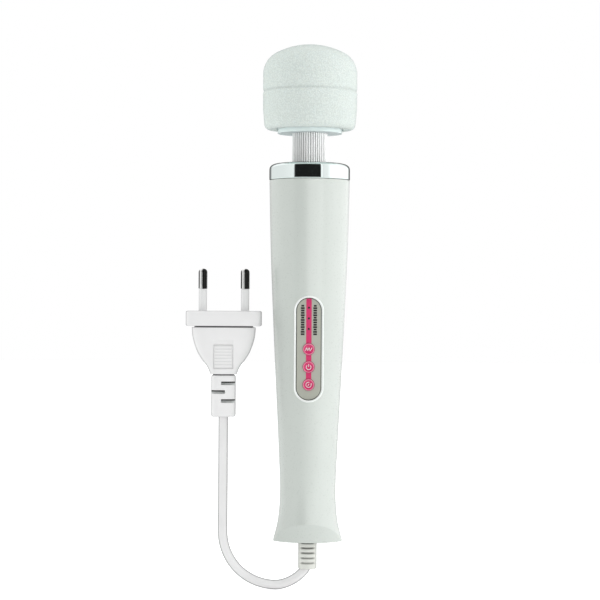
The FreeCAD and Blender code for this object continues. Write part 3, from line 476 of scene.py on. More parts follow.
def brushed(name, colour, rough, direction=(1.0, 1.0, 40.0), edge=(0.75, 0.98), dark=0.3, metal=1.0,
            hollow_shade=None):
    """Metal or film with fine lines: the noise is squeezed across the brushing direction. Its edges carry a
    painted dark reflection, its hollows painted shade.
    """
    tree, shader = new_material(name)
    mapping = node(tree, "ShaderNodeMapping", Vector=object_point(tree), Scale=direction)
    lines = noise_value(tree, mapping.outputs["Vector"], 250.0, 5.0)
    colour_out = mixed_colour(tree, mapped(tree, lines, 0, 1), tinted(colour, 0.88), tinted(colour, 1.1))
    if hollow_shade is not None:
        colour_out = hollow_darkened(tree, colour_out, hollow_shade)
    metal_edge(tree, shader, colour_out, edge, dark)
    bumped(tree, shader, lines, 0.000006)
    feed(shader, Roughness=mapped(tree, lines, rough * 0.7, rough * 1.3), Metallic=metal)


def metal_edge(tree, shader, colour_out, edge, dark):
    """A metal with a painted reflection: its colour and mirror darken at grazing angles, a tint that stands for
    what it would reflect there.
    """
    rim = edge_value(tree, edge)
    shade = (dark, dark, dark)
    feed(shader, Base_Color=mixed_colour(tree, rim, colour_out, shade, "MULTIPLY"),
         Specular_Tint=mixed_colour(tree, rim, (1, 1, 1), shade))


def pebbled(name, colour):
    """Soft silicone with a fine leather-like grain, with painted shade in the grain's hollows, in the ring
    groove and along the outline.
    """
    tree, shader = new_material(name)
    point = object_point(tree)
    cells = node(tree, "ShaderNodeTexVoronoi", Vector=point, Scale=1500.0, Randomness=1.0).outputs["Distance"]
    fine = noise_value(tree, point, 2600.0, 4.0)
    slow = noise_value(tree, point, 70.0)
    height = arithmetic(tree, "ADD", mapped(tree, cells, 1.0, 0.0, 0.0, 0.8), mapped(tree, fine, 0.0, 0.4))
    hollow_shade = mapped(tree, height, 0, 1, 0.35, 0.95)
    colour_out = mixed_colour(tree, hollow_shade, tinted(colour, 0.92), tinted(colour, 1.06))
    edge_darkened(tree, shader, hollow_darkened(tree, colour_out, 0.88), (0.72, 1.0), 0.75)
    bumped(tree, shader, height, 0.00014, 0.9)
    feed(shader, Roughness=mapped(tree, slow, 0.55, 0.7), Subsurface_Weight=0.1,
         Subsurface_Radius=(0.004, 0.0035, 0.003), Subsurface_Scale=0.5)


def smudged_chrome(name, colour, edge, dark):
    """A plated mirror with faint smudges and a painted dark reflection at its edges."""
    tree, shader = new_material(name)
    smudge = noise_value(tree, object_point(tree), 160.0, 5.0)
    metal_edge(tree, shader, mixed_colour(tree, smudge, tinted(colour, 0.97), colour), edge, dark)
    bumped(tree, shader, smudge, 0.000003)
    feed(shader, Roughness=mapped(tree, smudge, 0.03, 0.085), Metallic=1.0)


def pin_metal():
    """Worn nickel plate with a painted reflection: by the way it faces, its colour shows a bright window left of
    its middle and the dark room elsewhere.
    """
    tree, shader = new_material("pin_metal")
    normal = node(tree, "ShaderNodeNewGeometry").outputs["Normal"]
    across = node(tree, "ShaderNodeSeparateXYZ", Vector=normal).outputs["X"]
    wear = noise_value(tree, object_point(tree), 900.0, 5.0)
    # Painted reflection: grey levels by the surface's facing across X, bright in a band left of the middle and
    # dark elsewhere.
    stops = [(-1.0, 0.04), (-0.75, 0.04), (-0.62, 1.0), (-0.15, 1.0), (0.0, 0.04), (0.8, 0.02), (1.0, 0.2)]
    stops = [((x + 1) / 2, level) for x, level in stops]
    mirrored = grey_ramp(tree, mapped(tree, across, 0, 1, -1.0, 1.0), stops)
    worn = mixed_colour(tree, wear, (0.86, 0.86, 0.85), (1.0, 1.0, 0.99))
    bumped(tree, shader, wear, 0.000004)
    feed(shader, Base_Color=mixed_colour(tree, 1.0, mirrored, worn, "MULTIPLY"),
         Roughness=mapped(tree, wear, 0.32, 0.44), Metallic=1.0)


surface("shell_white", (0.622, 0.646, 0.617), 0.3, coat=0.7, grain=1400.0, depth=0.000004, vary=0.01)
surface("soft_white", (0.62, 0.65, 0.62), 0.6, grain=2200.0, depth=0.00003, vary=0.02)
surface("head_plastic", (0.9, 1.0, 1.0), 0.42, grain=1500.0, vary=0.02)
pebbled("silicone_white", (0.78, 0.83, 0.805))
smudged_chrome("chrome", (0.87, 0.945, 0.93), (0.64, 0.84), 0.12)
brushed("neck_silver", (1.0, 0.975, 0.985), 0.28, (1.0, 1.0, 0.12), metal=0.2, edge=(0.8, 1.0), hollow_shade=0.06)
surface("panel_grey", (0.10, 0.10, 0.10), 0.5, grain=1800.0)
surface("panel_film", (0.48, 0.48, 0.42), 0.4, grain=3200.0, depth=0.000008, vary=0.05)
surface("pink_print", (0.72, 0.03, 0.16), 0.36, grain=2400.0, depth=0.000005, vary=0.05)
surface("button_pink", (0.72, 0.03, 0.16), 0.25, coat=0.5, grain=2400.0, depth=0.000006, vary=0.06)
# A lighter copy of the key's pink for the key rims: a painted highlight on their lit edges.
surface("pink_rim_highlight", (0.86, 0.22, 0.36), 0.3, coat=0.5, grain=2400.0, depth=0.000006, vary=0.06)
surface("lamp_white", (0.86, 0.78, 0.80), 0.4, grain=2500.0, depth=0.000005, vary=0.03)
surface("dark_print", (0.018, 0.015, 0.016), 0.45, grain=2500.0, depth=0.000005, vary=0.2)
surface("smoked_plastic", (0.02, 0.008, 0.012), 0.15, coat=0.5, grain=1500.0, depth=0.000003, vary=0.2)
surface("cord_white", (0.93, 0.90, 0.915), 0.42, grain=1600.0, depth=0.000016, vary=0.03, edge=(0.28,
        0.7), dark=0.22)
surface("boot_white", (0.83, 0.82, 0.78), 0.5, grain=1600.0, depth=0.00002, vary=0.03, edge=(0.38, 0.95),
        dark=0.45, hollow_shade=0.4)
surface("plug_white", (0.94, 0.91, 0.925), 0.4, grain=1700.0, depth=0.000018, vary=0.025, edge=(0.42,
        0.9), dark=0.4, hollow_shade=0.22)
# The boot's slots: their upper walls take painted shade, their lower walls a lighter painted grey.
surface("slot_shade", (0.1, 0.1, 0.1), 0.6, grain=1700.0, vary=0.06)
surface("slot_light", (0.8, 0.8, 0.8), 0.6, grain=1700.0, vary=0.06)
# A whiter copy of the shell colour for the panel's lip: a painted highlight.
surface("rim_highlight", (0.88, 0.89, 0.88), 0.28, coat=0.6, grain=1700.0, depth=0.000005, vary=0.01)
surface("pin_sleeve_white", (0.90, 0.88, 0.89), 0.35, grain=1700.0, vary=0.02, edge=(0.38, 0.95), dark=0.5)
pin_metal()
surface("black_rubber", (0.02, 0.02, 0.021), 0.7, grain=1500.0, depth=0.00003, vary=0.2)
surface("black_plastic", (0.025, 0.026, 0.028), 0.4, grain=1800.0, vary=0.2)
surface("circuit_board", (0.02, 0.16, 0.06), 0.35, depth=0.00002, vary=0.25)
surface("capacitor_sleeve", (0.02, 0.035, 0.12), 0.3, vary=0.15)
surface("wire_sleeve", (0.35, 0.04, 0.025), 0.4, vary=0.1)
surface("ribbon_grey", (0.4, 0.41, 0.42), 0.5, vary=0.1)
surface("fuse_glass", (0.72, 0.78, 0.78), 0.08, coat=0.7, vary=0.05)
for name in ("steel", "lamination_steel"):
    brushed(name, (0.55, 0.56, 0.58), 0.3)
brushed("spring_steel", (0.42, 0.43, 0.45), 0.28, (30.0, 30.0, 1.0))
brushed("aluminium", (0.72, 0.73, 0.74), 0.34)
brushed("bronze", (0.62, 0.4, 0.16), 0.35)
brushed("copper", (0.72, 0.3, 0.13), 0.32, (1.0, 1.0, 60.0))
for name in ("magnet_iron", "weight_iron"):
    surface(name, (0.09, 0.09, 0.1), 0.55, metal=0.6, grain=1200.0, depth=0.00005, vary=0.2)


# ---------------------------------------------------------------- frame parts that stay

def smooth_group():
    """A modifier that smooths a frame part's shading, except across edges sharper than 30 degrees."""
    group = bpy.data.node_groups.new("smooth_shading", "GeometryNodeTree")
    group.interface.new_socket("Geometry", in_out="INPUT", socket_type="NodeSocketGeometry")
    group.interface.new_socket("Geometry", in_out="OUTPUT", socket_type="NodeSocketGeometry")
    whole = node(group, "NodeGroupInput").outputs[0]
    angle = node(group, "GeometryNodeInputMeshEdgeAngle").outputs["Unsigned Angle"]
    below = node(group, "FunctionNodeCompare", operation="LESS_THAN", A=angle, B=math.radians(30))
    faces = node(group, "GeometryNodeSetShadeSmooth", domain="FACE", Geometry=whole).outputs["Geometry"]
    edges = node(group, "GeometryNodeSetShadeSmooth", domain="EDGE", Geometry=faces,
                 Shade_Smooth=below.outputs["Result"])
    set_input(node(group, "NodeGroupOutput").inputs[0], edges.outputs["Geometry"])
    return group


def finish_frame_parts():
    slots = {entry["node"]: entry["material_slot"] for entry in frame["record"]["subparts"]}
    group = smooth_group()
    for name, obj in frame["nodes"].items():
        obj.data.materials.clear()
        obj.data.materials.append(MATERIALS[slots[name]])
        modifier = obj.modifiers.new("smooth_shading", "NODES")
        modifier.node_group = group


# ---------------------------------------------------------------- handle

def handle_radius(angle, z):
    """The casing's outer radius in a direction: the flared bar, or the heel's bevel where that is nearer."""
    radius = smooth_through(HANDLE_SIDE, z)
    lift = (z - HEEL_Z) * math.tan(HEEL_BEVEL_TILT)
    depth = HEEL_BEVEL_R / math.cos(HEEL_BEVEL_TILT)
    across, along = abs(math.cos(angle)), abs(math.sin(angle))
    centre = HEEL_BEVEL_Y - lift
    # Distance from the axis to the bevel's elliptical section, whose centre lies behind the axis.
    a = (across / HEEL_BEVEL_R) ** 2 + (along / depth) ** 2
    b = along * centre / depth ** 2
    c = (centre / depth) ** 2 - 1
    bevel = (-b + math.sqrt(max(b * b - a * c, 0.0))) / a
    return min(radius, bevel) if z < 0 else radius


def half_ring(front, z, outer, inner, count=128, bead=0.16):
    """One C-shaped slice of a casing half: out along the wall, back along the inside, parting edges eased."""
    start = math.pi if front else 0.0
    ring = []
    for k in range(count + 1):
        angle = start + math.pi * k / count
        ease = bead if k in (0, count) else 0.0
        radius = outer(angle, z) - ease
        ring.append((radius * math.cos(angle), radius * math.sin(angle), z))
        if k in (0, count - 1):
            radius = outer(angle, z)
            turn = bead / radius if k == 0 else math.pi / count - bead / radius
            ring.append((radius * math.cos(angle + turn), radius * math.sin(angle + turn), z))
    for k in range(count // 4 + 1):
        angle = start + math.pi - 4 * math.pi * k / count
        ring.append((inner * math.cos(angle), inner * math.sin(angle), z))
    return ring


def eased_wall(drop):
    """The casing's outer radius, pulled in by drop."""
    return lambda angle, z: handle_radius(angle, z) - drop


def casing_half(front):
    """A closed half shell with floor, wall and spigot."""
    ease = 0.35
    funnel_r, funnel_slope = 9.2, 0.17      # the heel's inside, which widens upwards from the floor
    funnel_z = -6.0                         # rings stand close together below this
    rings = []
    for z, drop in ((HEEL_Z, ease), (HEEL_Z + 0.1, 0.1), (HEEL_Z + ease, 0.0)):
        rings.append(half_ring(front, z, eased_wall(drop), CORD_HOLE_R))
    floor_z = HEEL_Z + HEEL_THICK
    for z in steps_between(HEEL_Z + ease, floor_z, 0.3)[1:]:
        rings.append(half_ring(front, z, handle_radius, CORD_HOLE_R))
    heights = steps_between(floor_z, funnel_z, 0.3) + steps_between(funnel_z, HANDLE_TOP_Z - ease, 1.0)[1:]
    for z in heights:
        inner = min(smooth_through(HANDLE_SIDE, z) - WALL, funnel_r + (z - floor_z) * funnel_slope)
        inner = inner if z < 0 else smooth_through(HANDLE_SIDE, z) - WALL
        rings.append(half_ring(front, z, handle_radius, inner))
    inner = smooth_through(HANDLE_SIDE, HANDLE_TOP_Z) - WALL
    for lift, drop in ((0.2, 0.06), (ease, 0.4)):
        rings.append(half_ring(front, HANDLE_TOP_Z - ease + lift, eased_wall(drop), inner))
    for z in (HANDLE_TOP_Z, SPIGOT_TOP_Z):
        rings.append(half_ring(front, z, lambda angle, height: SPIGOT_R, SPIGOT_BORE_R))
    return skin(rings)


def surface_y(x, z):
    """The front surface's y at a point of the panel's outline."""
    radius = smooth_through(HANDLE_SIDE, z)
    return -math.sqrt(radius * radius - x * x)


def panel_rim():
    """The soft raised lip round the panel's recess, which follows the handle's curve."""
    outline = stadium(PANEL_R, PANEL_HALF, OPENING_GROW + 0.42, 40)
    lip = 0.5
    rings = []
    count = len(outline)
    for i, (x, z) in enumerate(outline):
        x0, z0 = outline[i - 1]
        x1, z1 = outline[(i + 1) % count]
        out = Vector((z1 - z0, 0, -(x1 - x0))).normalized()
        world = PANEL_PLACE @ Vector((x, 0, z))
        base = Vector((world.x, surface_y(world.x, world.z) + 0.1, world.z))
        forward = Vector((world.x, surface_y(world.x, world.z), 0)).normalized()
        rings.append([base + out * lip * math.cos(t) + forward * lip * 0.95 * math.sin(t)
                      for t in [TAU * k / 12 for k in range(12)]])
    return skin(rings, loop=True)


def panel_cutter(grow, low, high):
    """A slot-shaped block that cuts the panel's opening or the pocket behind it."""
    verts, faces = slab(stadium(PANEL_R, PANEL_HALF, grow), low, high)
    return cutter(placed(verts, PANEL_PLACE), faces)


def build_casing():
    for name, front in (("front_shell", True), ("rear_shell", False)):
        verts, faces = casing_half(front)
        shell = piece("casing_front" if front else "casing_back", verts, faces, "shell_white", 28)
        if front:
            cut(shell, panel_cutter(OPENING_GROW, -6, 3), panel_cutter(1.35, 0.9, 6))
        else:
            recess = lathe([(0, 0), (SCREW_RECESS_R, 0), (SCREW_RECESS_R, 30), (0, 30)], 48)
            cut(shell, *[cutter(*turned_to_back(recess, z)) for z in SCREW_Z])
        crease(shell, 28)
        hold(shell, "handle", name)
        SHELLS.objects.link(shell)
    rim = piece("panel_rim", *panel_rim(), "shell_white", 80, look="rim_highlight")
    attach(rim, "handle")
    SHELLS.objects.link(rim)


def turned_to_back(mesh, z):
    """Lay a lathe along +Y, out of the back of the handle."""
    verts, faces = mesh
    start = smooth_through(HANDLE_SIDE, z) - SCREW_RECESS_DEPTH
    return [(v[0], start + v[2], z - v[1]) for v in verts], faces


def build_collar():
    low = HANDLE_TOP_Z + 0.05
    bore = 16.75
    mouth = 8.6                     # the hole that the sleeve stands in
    lid_z = 147.0                   # the underside of the collar's top
    top = COLLAR_TOP_Z
    ease = 0.35
    round_r, round_z = 4.4, 3.0     # the soft shoulder's reach inwards and upwards
    profile = [(bore, low + 0.2), (bore + 0.2, low), (COLLAR_R - ease - 0.1, low)]
    profile += bend((COLLAR_R - ease, low + ease), ease, -90, 0, 5)
    profile += [(COLLAR_R, low + ease + lift) for lift in (0.1, 0.3, 1.0, 2.5, 3.4, 3.6)]
    shoulder = (COLLAR_R - round_r, top - round_z)
    squareness = 2 / 2.5
    for i in range(19):
        t = math.pi / 2 * i / 18
        profile.append((shoulder[0] + round_r * math.cos(t) ** squareness,
                        shoulder[1] + round_z * math.sin(t) ** squareness))
    profile += [(mouth + 0.4, top), (mouth + 0.1, top - 0.15), (mouth, top - 0.4), (mouth, lid_z), (bore, lid_z)]
    collar = piece("chrome_ring", *lathe(profile, 192), "chrome", 40)
    hold(collar, "handle", "chrome_collar")


# ---------------------------------------------------------------- neck

def rib(angle):
    """1 on a rib's crest, 0 in the narrow valley between two."""
    return abs(math.sin(angle * FLUTES / 2)) ** 0.6


def fluted(z, depth=0.5):
    """One ring of the ribbed sleeve: rounded ribs with narrow valleys."""
    count = FLUTES * FLUTE_STEPS
    ring = []
    for k in range(count):
        angle = TAU * k / count
        radius = SLEEVE_R - depth * (1 - rib(angle))
        ring.append((radius * math.cos(angle), radius * math.sin(angle), z))
    return ring


def sleeve_half(low, high, flange_low, flange_high, flange_r):
    """Half of the sleeve with the flange that is trapped in the handle or in the head."""
    count = FLUTES * FLUTE_STEPS
    rings = [fluted(z) for z in steps_between(low, high, 0.45)]
    below = flange_low < low
    flange = [circle(flange_r, flange_high if below else flange_low, count),
              circle(flange_r, flange_low if below else flange_high, count),
              circle(SLEEVE_BORE_R, flange_low if below else flange_high, count)]
    inner_far = circle(SLEEVE_BORE_R, high if below else low, count)
    if below:
        middle = [circle(SLEEVE_BORE_R, z, count) for z in steps_between(low, high, 1.5)]
        return skin([inner_far] + rings[::-1] + flange + middle, loop=True)
    middle = [circle(SLEEVE_BORE_R, z, count) for z in steps_between(low, high, 1.5)[::-1]]
    return skin([inner_far] + rings + flange + middle, loop=True)


def coil_mesh(low, high, mean, wire, pitch, start_turn=0.0, sides=12, steps=28):
    """A round-wire helix between two heights."""
    turns = (high - low) / pitch
    count = int(turns * steps)
    rings = []
    for i in range(count + 1):
        angle = TAU * (start_turn + turns * i / count)
        z = low + (high - low) * i / count
        out = Vector((math.cos(angle), math.sin(angle), 0))
        rings.append([out * (mean + wire * math.cos(t)) + Vector((0, 0, z + wire * math.sin(t)))
                      for t in [TAU * k / sides for k in range(sides)]])
    return skin(rings)


def build_neck():
    collar = (0, 0, COLLAR_TOP_Z * MM)
    pivot = (0, 0, NECK_PIVOT_Z * MM)
    disc = (0, 0, DISC_Z * MM)
    low = sleeve_half(145.3, NECK_PIVOT_Z, 143.55, 145.3, 10.5)
    high = sleeve_half(NECK_PIVOT_Z, 164.1, 164.1, 165.9, 9.9)
    spans = ((low, "handle", "neck", collar, pivot), (high, "neck", "head", pivot, disc))
    for name, (mesh, below, above, start, end) in zip(("sleeve_lower", "sleeve_upper"), spans):
        outside_r = SLEEVE_BORE_R + 0.5
        # Painted shade in the valleys between the ribs.
        shade = [(1 - rib(math.atan2(y, x))) ** 2.2 if math.hypot(x, y) > outside_r else 0
                 for x, y, _ in mesh[0]]
        sleeve = piece(name, *mesh, "neck_silver", 60, shade)
        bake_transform(sleeve)
        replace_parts(sleeve, "neck_sleeve")
        SLEEVES.objects.link(sleeve)
    build_coils()


def build_coils():
    """The neck's two springs, each in two halves; the inner one's rigid halves leave room to tilt."""
    big = {"mean": 5.4, "wire": 0.65, "pitch": 2.3}
    small = {"mean": 2.4, "wire": 0.45, "pitch": 1.5}
    room = small["wire"] + 0.65
    big_low = low_mm("neck_spring").z + big["wire"]
    big_high = high_mm("neck_spring").z - big["wire"]
    small_low = low_mm("drive_spring").z + small["wire"]
    small_high = high_mm("drive_spring").z - small["wire"]
    joins = []
    for name, low, high, spec, node_name, first in (
            ("neck_coil_lower", big_low, NECK_PIVOT_Z, big, "neck_spring", big_low),
            ("neck_coil_upper", NECK_PIVOT_Z, big_high, big, "neck_spring", big_low),
            ("drive_coil_lower", small_low, NECK_PIVOT_Z - room, small, "drive_spring", small_low),
            ("drive_coil_upper", NECK_PIVOT_Z + room, small_high, small, "drive_spring", small_low)):
        mesh = coil_mesh(low, high, spec["mean"], spec["wire"], spec["pitch"], (low - first) / spec["pitch"])
        coil = piece(name, *mesh, "spring_steel", 50)
        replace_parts(coil, node_name)
        joins.append(coil)
    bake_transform(joins[0])
    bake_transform(joins[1])
    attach(joins[2], "motor_rotor")
    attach(joins[3], "eccentric")


# ---------------------------------------------------------------- head

def head_profile(inset, spacing):
    """The head's outline from the foot's inner edge to the crown: evenly spaced (radius, z, normal) points."""
    shoulder_x = HEAD_R - SHOULDER_R
    crown_z = HEAD_TOP_Z - CROWN_R
    shoulder_z = crown_z + math.sqrt((CROWN_R - SHOULDER_R) ** 2 - shoulder_x ** 2)
    meet = math.degrees(math.atan2(shoulder_z - crown_z, shoulder_x))
    foot_r, fillet = HEAD_FOOT[0] - inset, max(HEAD_FOOT[1] - inset, 0.5)
    low = HEAD_LOW_Z + inset
    points = [(HEAD_FOOT[2], low)]
    points += bend((foot_r - fillet, low + fillet), fillet, -90, 0, 10)
    points += [(HEAD_R - inset, HEAD_FLARE_Z)]
    points += bend((shoulder_x, shoulder_z), SHOULDER_R - inset, 0, meet, 24)
    points += bend((0, crown_z), CROWN_R - inset, meet, 90, 24)[1:]
    return respaced(points, spacing)


def respaced(points, spacing):
    """Evenly spaced points along a polyline, each with its outward normal."""
    lengths = [0.0]
    for (r0, z0), (r1, z1) in zip(points, points[1:]):
        lengths.append(lengths[-1] + math.hypot(r1 - r0, z1 - z0))
    count = max(2, round(lengths[-1] / spacing))
    result = []
    segment = 0
    for i in range(count + 1):
        target = lengths[-1] * i / count
        while segment < len(points) - 2 and lengths[segment + 1] < target:
            segment += 1
        (r0, z0), (r1, z1) = points[segment], points[segment + 1]
        span = max(lengths[segment + 1] - lengths[segment], 1e-9)
        t = (target - lengths[segment]) / span
        result.append((r0 + (r1 - r0) * t, z0 + (z1 - z0) * t, (z1 - z0) / span, -(r1 - r0) / span))
    return result


def ring_groove(z):
    """How deep the moulded line round the middle of the head is at a height: a valley over a soft lip."""
    return GROOVE_DEPTH * math.exp(-((z - 180.9) / 0.6) ** 2) - 0.14 * math.exp(-((z - 179.6) / 0.45) ** 2)


def pebble(x, y, z):
    """Height of the moulded grain at a point, in millimetres."""
    point = Vector((x, y, z))
    near = noise.voronoi(point / 0.75)[0]
    cells = min(near[0] / 0.55, 1.0)
    return GRAIN * (1 - cells * cells) + 0.03 * noise.noise(point / 2.3)


def build_head_cover():
    count = 520
    rings = []
    for r, z, nr, nz in head_profile(0.0, 0.27):
        if r < 0.3:
            rings.append([(0, 0, z)])
            continue
        ring = []
        sink = ring_groove(z)
        for k in range(count):
            cos, sin = math.cos(TAU * k / count), math.sin(TAU * k / count)
            rise = pebble(r * cos, r * sin, z) - GRAIN - sink
            ring.append(((r + nr * rise) * cos, (r + nr * rise) * sin, z + nz * rise))
        rings.append(ring)
    for r, z, _, _ in head_profile(COVER_THICK, 2.5)[::-1]:
        rings.append([(0, 0, z)] if r < 0.3 else circle(r, z, count))
    verts, faces = cover_skin(rings)
    # Painted shade in the moulded ring groove, by its depth.
    shade = [max(0.0, ring_groove(v[2])) / GROOVE_DEPTH for v in verts]
    cover = piece("head_cover_soft", verts, faces, "silicone_white", 70, shade)
    hold(cover, "head", "head_cover")


def cover_skin(rings):
    """The outer and inner surfaces as one closed skin: it starts and ends at the foot's opening."""
    poles = [i for i, ring in enumerate(rings) if len(ring) == 1]
    outer_faces = skin(rings[:poles[0] + 1])
    inner_faces = skin(rings[poles[-1]:])
    verts = outer_faces[0] + inner_faces[0]
    shift = len(outer_faces[0])
    faces = [f for f in outer_faces[1] if len(f) < 5]
    faces += [tuple(i + shift for i in f) for f in inner_faces[1] if len(f) < 5]
    count = len(rings[0])
    last = len(verts) - count
    faces += [(k, last + k, last + (k + 1) % count, (k + 1) % count) for k in range(count)]
    return verts, faces


# ---------------------------------------------------------------- control panel

def on_panel(name, mesh, slot, body="handle", sharp=35.0, look=None):
    verts, faces = mesh
    obj = piece(name, placed(verts, PANEL_PLACE), faces, slot, sharp, look=look)
    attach(obj, body)
    return obj


def stroke(points, width, low, high, closed=False):
    """A flat ribbon of a given width along (x, z) points, between two y values."""
    count = len(points)
    left, right = [], []
    for i, (x, z) in enumerate(points):
        before = points[i - 1] if closed or i else points[i]
        after = points[(i + 1) % count] if closed or i < count - 1 else points[i]
        dx, dz = after[0] - before[0], after[1] - before[1]
        size = math.hypot(dx, dz) or 1.0
        nx, nz = -dz / size * width / 2, dx / size * width / 2
        left.append((x + nx, z + nz))
        right.append((x - nx, z - nz))
    rings = [[(a[0], low, a[1]), (b[0], low, b[1]), (b[0], high, b[1]), (a[0], high, a[1])]
             for a, b in zip(left, right)]
    return skin(rings, loop=closed)


def merged(*meshes):
    verts, faces = [], []
    for mesh_verts, mesh_faces in meshes:
        shift = len(verts)
        verts += list(mesh_verts)
        faces += [tuple(i + shift for i in f) for f in mesh_faces]
    return verts, faces


def moved(mesh, dx, dz):
    verts, faces = mesh
    return [(x + dx, y, z + dz) for x, y, z in verts], faces


def wave_icon():
    zigzag = [(-1.6, -0.7), (-0.85, 0.7), (-0.5, -0.7), (0.2, 0.7), (0.6, -0.7), (1.5, 0.7)]
    return merged(*[stroke([a, b], 0.27, *ICON_Y) for a, b in zip(zigzag, zigzag[1:])])


def power_icon():
    arc = bend((0, -0.1), 1.05, 125, 415, 28)
    return merged(stroke(arc, 0.27, *ICON_Y), stroke([(0, 1.3), (0, 0.1)], 0.27, *ICON_Y))


def speed_icon():
    """A ring arrow with a short needle, as on a dial."""
    arc = bend((0, 0), 1.15, 70, 375, 30)
    arrow = slab([(0.85, 0.3), (1.5, 0.15), (1.1, 0.8)], *ICON_Y)
    needle = stroke([(-0.3, -0.4), (0.25, 0.45)], 0.26, *ICON_Y)
    return merged(stroke(arc, 0.26, *ICON_Y), arrow, needle)


def inward(mesh):
    """Turn a lathe's axis from Z to the panel's inward axis."""
    verts, faces = mesh
    return [(x, z, y) for x, y, z in verts], faces


def button_cap():
    """A round key with a soft raised rim and a shallow dish, drawn about the panel's inward axis."""
    dish = [(0, -0.52), (1.0, -0.53), (1.7, -0.56), (2.05, -0.62)]
    rim = bend((2.28, -0.55), 0.22, 225, 360, 8)
    side = [(2.5, -0.45), (2.6, -0.3), (2.6, 1.3), (3.2, 1.3), (3.2, 1.9), (1.6, 1.9), (1.6, 4.1), (0, 4.1)]
    return inward(lathe(dish + rim + side, 72))


def key_rim():
    """The lighter ring round a key's edge: a painted highlight on its lit rim."""
    return inward(lathe(bend((2.3, -0.6), 0.24, 0, 345, 14), 72))


def build_buttons():
    icons = {"wave_button": wave_icon, "power_button": power_icon, "speed_button": speed_icon}
    for name, z in BUTTON_Z.items():
        key, rim, symbol = [name.replace("button", part) for part in ("key", "key_rim", "symbol")]
        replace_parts(on_panel(key, moved(button_cap(), 0, z), "button_pink", name, 40), name)
        on_panel(rim, moved(key_rim(), 0, z), "button_pink", name, look="pink_rim_highlight")
        on_panel(symbol, moved(icons[name](), 0, z), "lamp_white", name)


def stripe_segment(top, bottom):
    """A length of the pink stripe between two circles, given by centre height, radius and, on top, side."""
    half = 1.2
    across = [half * (1 - 2 * i / 10) for i in range(11)]
    upper = [(x, top[0] + top[2] * math.sqrt(top[1] ** 2 - x * x)) for x in across]
    lower = [(x, bottom[0] + math.sqrt(bottom[1] ** 2 - x * x)) for x in reversed(across)]
    return slab(upper + lower, PRINT_Y - 0.045, PRINT_Y)


def build_print():
    """The printed parts of the panel film: the stripe between the keys and two plain level scales."""
    zs = list(BUTTON_Z.values())
    parts = [stripe_segment((PANEL_HALF - PANEL_R, PANEL_R - 0.12, 1), (zs[0], BUTTON_HOLE_R))]
    for above, below in zip(zs, zs[1:]):
        parts.append(stripe_segment((above, BUTTON_HOLE_R, -1), (below, BUTTON_HOLE_R)))
    on_panel("pink_stripe", merged(*parts), "button_pink", look="pink_print")
    marks = []
    for side in (-1, 1):
        for i in range(13):
            wide = 1.25 + 0.5 * abs(math.sin(i * 1.9))
            z = 19.2 - 1.05 * i
            ends = [(side * 2.75 - wide / 2, z), (side * 2.75 + wide / 2, z)]
            marks.append(stroke(ends, 0.78, PRINT_Y - 0.035, PRINT_Y))
    on_panel("level_scales", merged(*marks), "black_plastic", look="dark_print")


def build_lights():
    """The three little round indicators, each a dome in a thin ring."""
    for i, z in enumerate(LIGHT_Z):
        dome = [(0, -0.42), (0.2, -0.41), (0.38, -0.36), (0.5, -0.24)]
        foot = [(0.5, 2.4), (0.9, 2.4), (0.9, 5.9), (0, 5.9)]
        peg = moved(inward(lathe(dome + foot, 32)), 0, z)
        guide = on_panel(f"indicator_{i + 1}", peg, "smoked_plastic")
        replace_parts(guide, "light_guides")


# ---------------------------------------------------------------- cord and plug

def cable_points(step=0.6):
    """Points along the cord: a straight start, a soft turn, a round loop and a straight rise."""
    turn = Vector((0, 0, CORD_TURN_Z))
    low = Vector((CORD_LOW_X, 0, low_mm("mains_cable").z + CABLE_R))
    loop_r = low.x - PLUG_X
    centre = low + Vector((0, 0, loop_r))
    leave, arrive = CORD_TURN_PULL
    turn_length = 17
    poles = (turn, turn - Vector((0, 0, leave)), low + Vector((arrive, 0, 0)), low)
    points = [Vector((0, 0, z)) for z in steps_between(turn.z, CORD_TOP_Z, step)[::-1]]
    for t in steps_between(0.0, 1.0, step / turn_length)[1:]:
        weights = ((1 - t) ** 3, 3 * t * (1 - t) ** 2, 3 * t * t * (1 - t), t ** 3)
        points.append(sum((p * w for p, w in zip(poles, weights)), Vector()))
    for a in steps_between(0.0, math.pi / 2, step / loop_r)[1:]:
        points.append(centre + Vector((-math.sin(a), 0, -math.cos(a))) * loop_r)
    points += [Vector((PLUG_X, 0, z)) for z in steps_between(centre.z, CORD_END_Z, 2 * step)[1:]]
    return points


def cord_mesh(points, radius, sides=32):
    """A round tube along points in the XZ plane, faintly wavy like a soft cord that has been coiled."""
    rings = []
    for i, point in enumerate(points):
        before, after = points[max(i - 1, 0)], points[min(i + 1, len(points) - 1)]
        along = (after - before).normalized()
        side = Vector((0, 1, 0))
        up = side.cross(along)
        wavy = radius + 0.02 * noise.noise(point / 6.0)
        rings.append([point + (side * math.cos(t) + up * math.sin(t)) * wavy
                      for t in [TAU * k / sides for k in range(sides)]])
    return skin(rings)


def blend_at_heel(obj):
    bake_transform(obj)


def blend_at_plug(obj):
    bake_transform(obj)


def build_cable():
    """The jacket in three lengths: the visible cord, and the two ends inside the boots."""
    points = cable_points()
    heel = max(i for i, p in enumerate(points[:60]) if p.z > HEEL_Z - BOOT_LENGTH)
    plug = min(i for i, p in enumerate(points) if p.z > low_mm("plug_boot").z + 1)
    lengths = {"cord_end_heel": points[:heel + 1],
               "cord_jacket": points[heel:plug + 1],
               "cord_end_plug": points[plug:]}
    lengths["cord_end_heel"][-1] = points[heel].lerp(points[heel - 1], 0.1)
    lengths["cord_end_plug"][0] = points[plug].lerp(points[plug + 1], 0.1)
    for name, length in lengths.items():
        cable = piece(name, *cord_mesh(length, CABLE_R), "cord_white", 40)
        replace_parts(cable, "mains_cable")
        if name == "cord_end_heel":
            blend_at_heel(cable)
        elif name == "cord_end_plug":
            blend_at_plug(cable)
        else:
            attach(cable, "cord")


